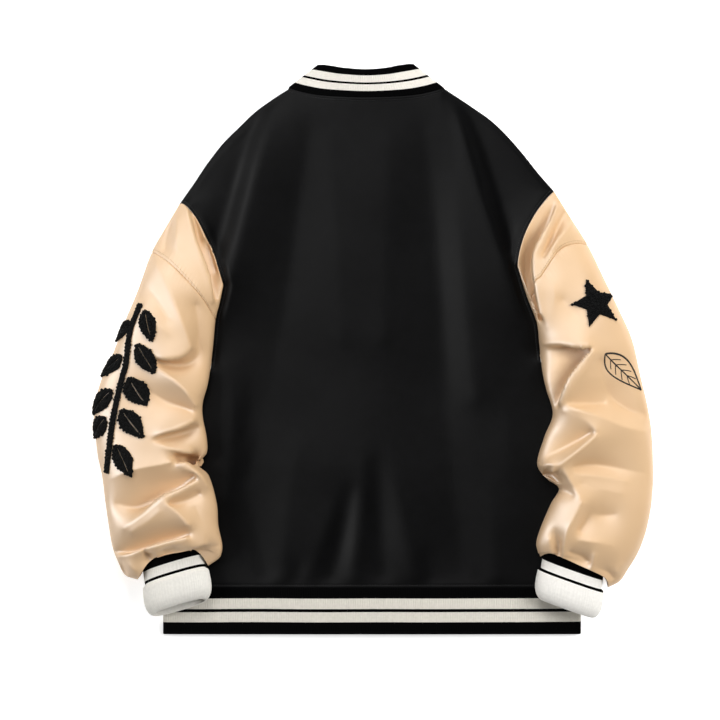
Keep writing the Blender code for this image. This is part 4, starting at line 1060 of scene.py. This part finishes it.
def make_back(body, material):
    u = spacing(BODY_WIDTH, BACK_COLUMN)
    v = spacing(BODY_LENGTH, BACK_ROW)
    left = inset(resample(body.left, v)[:, :2], 2 * SEAM)
    right = inset(resample(body.right, v)[:, :2], -2 * SEAM)
    top = resample(body.top, u)[:, :2]
    top[0], top[-1] = left[-1], right[-1]
    bottom = left[0] + (right[0] - left[0]) * u[:, None]
    plan = patch(bottom, top, left, right, u, v)
    x, y = plan[..., 0], plan[..., 1]
    z = body.height(x, y)
    distance, _ = body.edge(x, y)
    groove = STITCH_DEEP * np.exp(-(((distance - STITCH_IN) / STITCH_GROOVE) ** 2))
    z = z - EDGE_ROLL * round_edge(distance / ROLL_REACH) - groove
    outside = np.dstack([plan, z])
    return wall("back_cloth", outside, outside - [0, 0, CLOTH], material)


def front_height(x, y, sign):
    """Underside of a front: flat, but for the placket over its snaps or over the other placket."""
    lift = PLACKET_LIFT if sign < 0 else PLACKET_LIFT + CLOTH + PLACKET_GAP
    share = np.clip((PLACKET_EDGE + PLACKET_SLOPE - sign * x) / PLACKET_SLOPE, 0, 1)
    height, length, seed = FRONT_WAVES
    uneven = height * np.clip(ripple(x, y, length, seed) - FRONT_FLAT, 0, 1)
    return lift * share**2 * (3 - 2 * share) + uneven * (1 - share)


def make_front(name, edge, shoulder, neck, sign, material):
    """A front from its side and armhole to its placket, which passes the centre line."""
    v = spacing(BODY_LENGTH, FRONT_STEP)
    u = spacing(FRONT_WIDTH, FRONT_STEP)
    side = inset(resample(edge, v)[:, :2], -sign * 2 * SEAM)
    top = resample(np.concatenate([shoulder, neck[1:]]), u)[:, :2]
    top[0] = side[-1]
    corner = np.array([-sign * PLACKET, HEM_SEAM_Y])
    bottom = side[0] + (corner - side[0]) * u[:, None]
    placket = corner + (top[-1] - corner) * v[:, None]
    plan = patch(bottom, top, side, placket, u, v)
    outside = np.dstack([plan, front_height(plan[..., 0], plan[..., 1], sign)])
    return wall(name, outside, outside + [0, 0, CLOTH], material)


def make_fronts(body, material):
    first, last = COLLAR_TURNS
    left_neck = spline(COLLAR, np.linspace(first, 0, FRONT_NECK_POINTS))[:, :3]
    right_neck = spline(COLLAR, np.linspace(last, len(COLLAR) - 1, FRONT_NECK_POINTS))[:, :3]
    left_neck[0], right_neck[0] = LEFT_SHOULDER[-1], RIGHT_SHOULDER[-1]
    return (
        make_front("front_left_cloth", body.left, body.left_shoulder, left_neck, -1, material),
        make_front("front_right_cloth", body.right, body.right_shoulder, right_neck, 1, material),
    )


def ribbed(phase):
    """Relief of the knit's ribs: rounded, with narrow valleys."""
    return RIB_DEPTH * (2 * np.sin(np.pi * phase) ** 2 - 1)


def band(name, near, far, material):
    """A knitted band between two lines of x, y, z points, with its ribs running across it."""
    width = np.linalg.norm(far - near, axis=1, keepdims=True)
    near = near + (near - far) / width * SEAM_TUCK
    middle = (near + far) / 2
    length = lengths(middle)
    count = round(length[-1] / RIB_PITCH)
    at = np.linspace(0, length[-1], RIB_POINTS * count + 1)
    near, far = (points_at(edge, length, at) for edge in (near, far))
    across = ACROSS_BAND[:, None, None]
    sheet = near * (1 - across) + far * across
    facing = normals(sheet)
    rim = np.minimum(across, 1 - across) * width.mean() / (RIB / 2)
    roll = RIB / 2 * round_edge(rim)
    relief = ribbed(at / length[-1] * count)[None, :, None] * np.clip(rim, 0.2, 1)
    outside = sheet + facing * (relief - roll - RIB_DEPTH)
    inside = sheet - facing * (RIB - roll - relief * RIB_INNER - RIB_DEPTH)
    u = np.broadcast_to(at * MM, sheet.shape[:2])
    v = across[..., 0] + waves(at, 0 * at, *STRIPE_WAVES)[None]
    return wall(name, outside, inside, material, uv=np.dstack([u, v]))


def make_hem(material):
    """The hem rib, one band from placket to placket round both sides."""
    left, right = LEFT_SIDE[0][0], RIGHT_SIDE[0][0]
    front_left = [(PLACKET, 0), (-60, 0), (-160, 0), (left + 36, 0), (left + 12, 0)]
    left_turn = [(left + 3, 0.8), (left, 4.3), (left + 3, 7.8)]
    over = [(x, hem_height(x)) for x in np.linspace(left + 12, right - 12, 12)]
    right_turn = [(right - 3, 7.8), (right, 4.3), (right - 3, 0.8)]
    front_right = [(right - 12, 0), (right - 36, 0), (160, 0), (70, 0)]
    placket = [(34, 2.3), (18, 3.4), (-PLACKET, 3.4)]
    path = front_left + left_turn + over + right_turn + front_right + placket
    path = spline(path, np.linspace(0, len(path) - 1, 40 * len(path)))
    path[:, 1] = np.maximum(path[:, 1], 0)
    path = path[::-1]  # so that the band's outside faces out
    edge = np.insert(path, 1, HEM_EDGE_Y, axis=1)
    seam = np.insert(path, 1, HEM_SEAM_Y, axis=1)
    return band("hem_knit", seam, edge, material)


def make_collar(material):
    rows = spline(COLLAR, np.linspace(0, len(COLLAR) - 1, COLLAR_POINTS))
    return band("collar_knit", rows[:, :3], rows[:, 3:], material)


def split_sleeve(sleeve, name, rows, low_turns, top_turns, body, material):
    """The cap above the cross seam and the sleeve below it, and the whole outside."""
    outside = sleeve.grid(rows, low_turns, top_turns, body)
    facing = normals(outside) * sleeve.side
    seam_gap = np.abs(rows - CROSS_SEAM) * ROW_REACH
    roll = CROSS_ROLL * round_edge(seam_gap / CROSS_ROLL_REACH)[:, None]
    deep = np.where(rows < CROSS_SEAM, CAP_PUCKER, LOWER_PUCKER) * np.exp(-seam_gap / PUCKER_FADE)
    pucker = deep[:, None] * np.sin(np.arange(outside.shape[1]) * PUCKER_TURN)
    lowest = np.array([-np.inf, -np.inf, 0])
    outside = np.maximum(outside - facing * (roll + pucker)[..., None], lowest)
    inside = np.maximum(outside - facing * LEATHER, lowest + THINNEST)
    split = int(np.argmin(seam_gap))
    cap = wall(f"sleeve_cap_{name}_leather", outside[: split + 1], inside[: split + 1], material)
    lower = wall(f"sleeve_{name}_leather", outside[split:], inside[split:], material)
    return cap, lower, outside


class Surface:
    """The top of a sleeve's grid of points, read by millimetres along it and round it."""

    def __init__(self, grid, side):
        self.grid = grid
        self.facing = normals(grid) * side
        runs = np.linalg.norm(np.diff(grid, axis=0), axis=2)
        self.along = np.append(0, np.cumsum(runs[:, ALONG_COLUMN]))
        turns = np.linalg.norm(np.diff(grid, axis=1), axis=2)
        self.round = np.insert(np.cumsum(turns, axis=1), 0, 0, axis=1)

    def place(self, along, around, out):
        """The point there, moved out from the surface, and the way it faces."""
        row = np.interp(along, self.along, np.arange(len(self.along)))
        first = min(int(row), len(self.grid) - 2)
        share = row - first
        reach = self.round[first] * (1 - share) + self.round[first + 1] * share
        column = np.interp(around, reach, np.arange(len(reach)))
        left = min(int(column), len(reach) - 2)
        across = column - left
        corners = [grid[first : first + 2, left : left + 2] for grid in (self.grid, self.facing)]
        weights = np.outer((1 - share, share), (1 - across, across))[..., None]
        point, facing = (np.sum(corner * weights, axis=(0, 1)) for corner in corners)
        facing = facing / np.linalg.norm(facing)
        return point + facing * out, facing


def pile(name, surface, spots, pads, material):
    """A piece of chenille: backings, each two grids of points, and a loop of pile at each spot."""
    whole = bmesh.new()
    for face, back in pads:
        shape = thick_grid(*face.shape[:2])
        place_layers(shape, face, back)
        face_outwards(shape)
        pad = bpy.data.meshes.new("pad")
        shape.to_mesh(pad)
        shape.free()
        whole.from_mesh(pad)
        bpy.data.meshes.remove(pad)
    add_tufts(whole, surface, spots, len(name) + int(spots[0][0]))
    return add_piece(name, whole, material)


def add_tufts(shape, surface, spots, seed):
    draw = np.random.default_rng(seed)
    for along, around, out in spots:
        stray = draw.normal(0, TUFT_STRAY, 2)
        point, facing = surface.place(along + stray[0], around + stray[1], PILE_GAP + out)
        size = TUFT * draw.uniform(*TUFT_SIZES)
        turn = Vector(facing).to_track_quat("Z", "Y").to_matrix().to_4x4()
        spin = Matrix.Rotation(draw.uniform(0, TUFT_TURN), 4, "Z")
        scale = Matrix.Diagonal((size, size * draw.uniform(*TUFT_SLIM), size * TUFT_LOW, 1))
        place = Matrix.Translation(Vector(point) * MM) @ turn @ spin @ Matrix.Scale(MM, 4) @ scale
        bmesh.ops.create_icosphere(shape, subdivisions=2, radius=1, matrix=place)


def leaf_half(share, width):
    """Half a leaf's width at this share of its length."""
    return width / 2 * (LEAF_TIP + (1 - LEAF_TIP) * np.sin(np.pi * share**LEAF_BELLY))


def leaf_spots(length, width):
    """Places of the loops over one leaf, and how far each stands out."""
    spots = []
    for row, run in enumerate(np.arange(1.5, length - 0.8, TUFT_ROW)):
        half = leaf_half(run / length, width) - LOOSE
        slit = SLIT + TUFT if SLIT_ENDS[0] < run / length < SLIT_ENDS[1] else 0
        for sideways in np.arange(-half + (row % 2) * TUFT_PITCH / 2, half + 0.3, TUFT_PITCH):
            if abs(sideways) >= slit * SLIT_SHARE:
                spots.append((run, sideways, 1 - LEAF_DOME * (sideways / max(half, 1)) ** 2))
    return spots


def backing(surface, rows):
    """Face and back of a pad, from rows of points: along, round and how far the face stands out."""
    face = [[surface.place(x, y, PILE_GAP + out)[0] for x, y, out in row] for row in rows]
    back = [[surface.place(x, y, PILE_GAP)[0] for x, y, _ in row] for row in rows]
    return np.array(face), np.array(back)


def leaf_rows(start, run, side, width):
    """Rows of the pad on one side of a leaf's middle vein."""
    for share in np.linspace(0, 1, PAD_ROWS):
        half = leaf_half(share, width) - PAD_IN
        inner = min(SLIT * np.clip(5 * np.sin(np.pi * share), 0, 1), half - 0.2)
        yield [
            (*(start + run * share + side * across), PAD * (1 - LEAF_DOME * (across / half) ** 2))
            for across in np.linspace(inner, half, PAD_COLUMNS)
        ]


def make_leaf(name, surface, along, around, lean, length, width, material):
    """A leaf of two pads, either side of its open middle vein."""
    start = np.array([along, around])
    run = np.array([np.cos(np.radians(lean)), np.sin(np.radians(lean))])
    side = np.array([-run[1], run[0]])
    halves = [list(leaf_rows(start, run * length, side * hand, width)) for hand in (-1, 1)]
    pads = [backing(surface, rows) for rows in halves]
    spots = []
    for forward, sideways, rise in leaf_spots(length, width):
        spot = start + run * forward + side * sideways
        spots.append((*spot, PAD * rise))
    return pile(name, surface, spots, pads, material)


def make_stem(surface, material):
    path = spline(STEM, np.linspace(0, len(STEM) - 1, 60))
    side = np.gradient(path, axis=0)[:, ::-1] * [-1, 1]
    side /= np.linalg.norm(side, axis=1, keepdims=True)
    edges = [path + side * (STEM_WIDTH / 2 - PAD_IN) * across for across in (-1, 0, 1)]
    pad = backing(surface, [np.insert(edge, 2, STEM_PAD, axis=1) for edge in edges])
    spots = []
    length = lengths(path)
    for row, at in enumerate(np.arange(0.8, length[-1], TUFT_ROW)):
        spot = points_at(path, length, at)
        across = points_at(side, length, at)
        for sideways in np.array([-1, 0, 1] if row % 2 else [-0.5, 0.5]) * TUFT_PITCH:
            spots.append((*(spot + across * sideways), STEM_LOOPS - 0.05 * sideways**2))
    return pile("sprig_stem_pile", surface, spots, [pad], material)


def star_reach(angle):
    """Radius of the star at an angle."""
    point = np.pi / 5
    turn = np.abs((angle + point) % (2 * point) - point)
    return STAR_NOTCH * np.sin(point) / (np.sin(point - turn) + np.sin(turn) * STAR_NOTCH)


def make_star(surface, material):
    turn = np.radians(STAR_TURN)
    angles = np.linspace(0, 2 * np.pi, STAR_SIDES + 1)
    edge = (STAR_RADIUS - 0.6) * star_reach(angles)
    rings = []
    for share in STAR_RINGS:
        along = STAR_ALONG + share * edge * np.cos(angles + turn)
        around = STAR_ROUND + share * edge * np.sin(angles + turn)
        out = np.full(len(angles), PAD * (1 - STAR_DOME * share**4))
        rings.append(np.stack([along, around, out], axis=1))
    spots = []
    for row, up in enumerate(np.arange(-STAR_RADIUS, STAR_RADIUS, TUFT_ROW)):
        for sideways in np.arange(-STAR_RADIUS + row % 2 * TUFT_PITCH / 2, STAR_RADIUS, TUFT_PITCH):
            angle = np.arctan2(sideways, up) - turn
            reach = STAR_RADIUS * star_reach(angle % (2 * np.pi)) - 1.0
            share = np.hypot(up, sideways) / reach
            if share < 1:
                rise = PAD * (1 - STAR_DOME * share**4)
                spots.append((STAR_ALONG + up, STAR_ROUND + sideways, rise))
    return pile("star_pile", surface, spots, [backing(surface, rings)], material)


def squared(wave):
    """Makes the round of a cuff a little squarer."""
    return np.sign(wave) * np.abs(wave) ** CUFF_SQUARE


def make_cuff(name, side, x1, y1, x2, y2, tilt, half_width, back, material):
    """A knitted tube with a turned-back band: its section is a flattened round."""
    profile = np.array(CUFF_PROFILE, float)
    length = profile[-1, 0]
    at = np.unique(np.concatenate([profile[:, 0], np.linspace(0, length, CUFF_RINGS)]))
    phase = np.linspace(0, CUFF_RIBS, RIB_POINTS * CUFF_RIBS + 1)
    angles = 2 * np.pi * phase / CUFF_RIBS
    tilt = np.radians(tilt * -side)
    across = np.array([np.cos(tilt), np.sin(tilt), 0])
    run = np.array([x2 - x1, y2 - y1, 0]) / length
    wide, deep = squared(np.cos(angles)), squared(np.sin(angles))
    outside, inside = [], []
    for distance, stand in zip(at, np.interp(at, profile[:, 0], profile[:, 1])):
        middle = np.array([x1, y1, CUFF_MID_Z]) + distance * run
        ribs = ribbed(phase) * CUFF_RELIEF[int(distance > CUFF_TURN)]
        for grid, offset in ((outside, stand + ribs), (inside, min(stand, 0) - CUFF_WALL)):
            ring = middle + np.outer(wide * (half_width + offset), across)
            ring += np.outer(deep * (CUFF_HALF_DEPTH + offset), (0, 0, 1))
            grid.append(ring - np.outer(deep * back, run))
    u = np.broadcast_to(phase * RIB_PITCH * MM, (len(at), len(phase)))
    v = np.broadcast_to(at[:, None] / length, (len(at), len(phase)))
    return wall(name, np.array(outside), np.array(inside), material, tube=True, uv=np.dstack([u, v]))


def add_stitches(shape, path, facing, pitch, long, wide, across=False):
    """Small rounded stitches along a line of points, end to end or lying across it."""
    length = lengths(path)
    for at in np.arange(pitch / 2, length[-1], pitch):
        here, up = points_at(path, length, at), points_at(facing, length, at)
        ahead, behind = points_at(path, length, at + 0.5), points_at(path, length, at - 0.5)
        run = (ahead - behind) / np.linalg.norm(ahead - behind)
        side = np.cross(up, run) / np.linalg.norm(np.cross(up, run))
        if across:
            run, side = side, -run
        turn = Matrix([run, side, np.cross(run, side)]).transposed().to_4x4()
        scale = Matrix.Diagonal((long / 2, wide / 2, wide / 2, 1))
        place = Matrix.Translation(Vector(here) * MM) @ turn @ Matrix.Scale(MM, 4) @ scale
        bmesh.ops.create_icosphere(shape, subdivisions=1, radius=1, matrix=place)


def sew(name, path, facing, material):
    """A row of topstitching."""
    shape = bmesh.new()
    add_stitches(shape, path, facing, STITCH_PITCH, STITCH_LONG * STITCH_PITCH, STITCH_WIDE)
    row = add_piece(name, shape, material)


def sew_body(body, material):
    """Topstitching on the back, beside the armholes, the neck and the hem."""
    shares = np.linspace(0, 1, SEAM_POINTS)
    left = resample(body.left[CURVE_POINTS * len(LEFT_SIDE) :], shares)
    right = resample(body.right[CURVE_POINTS * len(RIGHT_SIDE) :], shares)
    lines = (
        ("left_armhole", left, 1),
        ("right_armhole", right, -1),
        ("neck", body.neck, 1),
        ("hem", body.hem, -1),
    )
    for name, line, hand in lines:
        seam = resample(line, np.linspace(0.01, 0.99, SEAM_POINTS))[:, :2]
        path = inset(seam, hand * STITCH_IN)
        x, y = path.T
        z = body.height(x, y) - STITCH_DEEP + STITCH_OUT
        slopes = [body.height(x + dx, y + dy) - body.height(x, y) for dx, dy in ((1, 0), (0, 1))]
        facing = np.stack([-slopes[0], -slopes[1], np.ones(len(x))], axis=1)
        sew(f"{name}_topstitch", np.stack([x, y, z], axis=1), facing, material)


def sew_cross_seam(name, outside, rows, side, first, material):
    """Topstitching on a sleeve's cap, just above its cross seam."""
    row = int(np.argmin(np.abs(rows - CROSS_SEAM + CROSS_STITCH)))
    facing = normals(outside)[row, first:] * side
    path = outside[row, first:] + STITCH_OUT * facing
    sew(f"cap_{name}_topstitch", path, facing, material)


def vein_lines():
    """The embroidered leaf's lines in shares of its length and width: x, y and the stitches' reach."""
    run = np.linspace(0, 1, 40)
    belly = np.sin(np.pi * run**0.8)
    middle = 0.05 * np.sin(np.pi * run)
    lines = [(run, 0.5 * belly, 2.4), (run, -0.45 * belly, 3.2), (run, middle, 2.2)]
    for first in VEINS:
        reach = np.linspace(0, 1, 12)
        for hand in (-1, 1):
            across = middle[first] + hand * (0.32 * belly[first + 4] * reach**0.8)
            lines.append((run[first] + 0.15 * reach, across, 1.5))
    return lines


def embroider_leaf(surface, material):
    """A satin-stitched leaf outline on the right sleeve."""
    start, end = np.array(EMBROIDERY[:2]), np.array(EMBROIDERY[2:])
    run = end - start
    side = np.array([-run[1], run[0]]) / np.hypot(*run) * EMBROIDERY_WIDTH
    shape = bmesh.new()
    for along, across, reach in vein_lines():
        spots = [start + run * x + side * y for x, y in zip(along, across)]
        places = [surface.place(*spot, SATIN_OUT) for spot in spots]
        path, facing = (np.array(part) for part in zip(*places))
        add_stitches(shape, path, facing, SATIN_PITCH, reach, SATIN_WIDE, across=True)
    leaf = add_piece("embroidered_leaf", shape, material)


def make_snaps(material):
    """Snap caps on the outside of the left placket, which faces the surface the jacket lies on."""
    for number, y in enumerate(np.linspace(LOWEST_SNAP_Y, HIGHEST_SNAP_Y, SNAP_COUNT), start=1):
        shape = bmesh.new()
        points = [shape.verts.new((x * MM, 0, z * MM)) for x, z in SNAP_SECTION]
        edges = [shape.edges.new(pair) for pair in zip(points, points[1:])]
        bmesh.ops.spin(
            shape,
            geom=points + edges,
            axis=(0, 0, 1),
            cent=(0, 0, 0),
            steps=SNAP_SIDES,
            angle=2 * np.pi,
            use_merge=True,
            use_duplicate=False,
        )
        bmesh.ops.remove_doubles(shape, verts=shape.verts[:], dist=1e-6)
        bmesh.ops.translate(shape, verts=shape.verts[:], vec=(0, y * MM, 0))
        face_outwards(shape)
        cap = add_piece(f"snap_cap_{number}", shape, material)
        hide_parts(f"snap_{number}")


# ---------------------------------------------------------------- studio


def make_studio():
    floor = bmesh.new()
    bmesh.ops.create_grid(floor, x_segments=1, y_segments=1, size=4.0)
    bmesh.ops.translate(floor, vec=(0, 0, -FLOOR_DROP * MM), verts=floor.verts[:])
    mesh = bpy.data.meshes.new("floor")
    floor.to_mesh(mesh)
    floor.free()
    paper = Finish("pale paper floor", (0.9, 0.9, 0.9), 0.9)
    paper.bump(paper.noise(300), 0.1, 0.1)
    paper.set(Emission_Color=(1, 1, 1, 1), Emission_Strength=0.5)
    mesh.materials.append(paper.material)
    ground = bpy.data.objects.new("floor", mesh)
    bpy.context.scene.collection.objects.link(ground)

    world = bpy.data.worlds.new("studio")
    bpy.context.scene.world = world
    world.use_nodes = True
    world.node_tree.nodes["Background"].inputs["Color"].default_value = (1, 1, 1, 1)
    world.node_tree.nodes["Background"].inputs["Strength"].default_value = 0.18
    for light in LIGHTS:
        add_light(*light)


def add_light(name, place, size, power, colour, gloss):
    lamp = bpy.data.lights.new(name, "AREA")
    lamp.shape = "DISK"
    lamp.size = size
    lamp.energy = power
    light = bpy.data.objects.new(name, lamp)
    light.location = place
    light.rotation_euler = (Vector((0, 0, 0)) - Vector(place)).to_track_quat("-Z", "Y").to_euler()
    bpy.context.scene.collection.objects.link(light)
    light.visible_diffuse = colour
    light.visible_glossy = gloss


def make_camera():
    camera = bpy.data.cameras.new("camera")
    camera.lens = CAMERA_LENS
    camera.sensor_width = 36
    camera.clip_end = 50
    view = bpy.data.objects.new("camera", camera)
    view.location = Vector((CAMERA_X, CAMERA_Y, CAMERA_HEIGHT)) * MM
    bpy.context.scene.collection.objects.link(view)
    bpy.context.scene.camera = view
    bpy.context.scene.view_settings.view_transform = "Standard"


# ---------------------------------------------------------------- all of it


def dress(node):
    """Hides the solid that the cloth stands for."""
    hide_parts(node)


def dress_body(body, black_thread):
    """The back, the fronts with their snaps, the collar, the hem and the topstitching."""
    black = fleece()
    back = make_back(body, black)
    front_left, front_right = make_fronts(body, black)
    dress("back")
    dress("front_left")
    dress("front_right")
    make_snaps(metal())
    sew_body(body, black_thread)
    collar = make_collar(rib("collar rib knit", COLLAR_BLACK, (0.72, 0.685, 0.625), 0.2))
    hem = make_hem(rib("hem rib knit", HEM_BLACK, (0.64, 0.61, 0.54), 0.2))
    dress("collar")
    dress("hem_rib")


def trim_sleeve(name, surface, pile_black, black_thread):
    """The sprig on the left sleeve, or the star and the embroidered leaf on the right one."""
    if name == "left":
        trims = [make_stem(surface, pile_black)]
        for number, leaf in enumerate(SPRIG_LEAVES, start=1):
            trims.append(make_leaf(f"sprig_leaf_{number}_pile", surface, *leaf, pile_black))
    else:
        trims = [make_star(surface, pile_black)]
        embroider_leaf(surface, black_thread)
    for trim in trims:
        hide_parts(trim.name.removesuffix("_pile"))


def dress_sleeves(sleeves, low_turns, top_turns, body, black_thread):
    """Each sleeve's cap and lower part, the seam between them and what is sewn on."""
    tan, pile_black = leather(), chenille()
    tan_thread = thread("tan thread", (0.40, 0.26, 0.14))
    above = np.linspace(0, CROSS_SEAM - SEAM_ZONE, CAP_ROWS)
    below = np.linspace(CROSS_SEAM + SEAM_ZONE, len(LEFT_SLEEVE) - 1, LOWER_ROWS)
    rows = np.concatenate([above, CROSS_SEAM + np.array(SEAM_ROWS), below])
    for sleeve, name in zip(sleeves, ("left", "right")):
        cap, lower, outside = split_sleeve(sleeve, name, rows, low_turns, top_turns, body, tan)
        dress(f"sleeve_cap_{name}")
        dress(f"sleeve_{name}")
        sew_cross_seam(name, outside, rows, sleeve.side, len(low_turns) - 1, tan_thread)
        surface = Surface(outside[:, len(low_turns) - 1 :], sleeve.side)
        trim_sleeve(name, surface, pile_black, black_thread)


def dress_cuffs():
    # Both cuffs are one knit: the right cuff's white is painted lighter than the left's, painted light
    # for the brighter light on the jacket's right side.
    cuffs = (
        ("left", LEFT_CUFF, LEFT_CUFF_BLACK, (0.79, 0.765, 0.705)),
        ("right", RIGHT_CUFF, RIGHT_CUFF_BLACK, (0.84, 0.815, 0.765)),
    )
    for name, table, black, white in cuffs:
        knit = rib(f"{name} cuff rib knit", black, white, 0.15)
        cuff = make_cuff(f"cuff_{name}_knit", *table, knit)
        dress(f"cuff_{name}")


def main():
    make_camera()
    make_studio()
    top_turns = np.pi * np.linspace(0, 1, LEATHER_COLUMNS)
    low_turns = np.pi * np.linspace(1, 0, FLOOR_COLUMNS)
    armhole_rows = np.linspace(0, UNDERARM, ARMHOLE_POINTS)
    left = Sleeve(-1, LEFT_SLEEVE, LEFT_CREASES)
    right = Sleeve(1, RIGHT_SLEEVE, RIGHT_CREASES)
    body = Body(left.armhole(armhole_rows, top_turns), right.armhole(armhole_rows, top_turns))
    black_thread = thread("black thread", (0.009, 0.009, 0.0095))
    dress_body(body, black_thread)
    dress_sleeves((left, right), low_turns, top_turns, body, black_thread)
    dress_cuffs()


main()
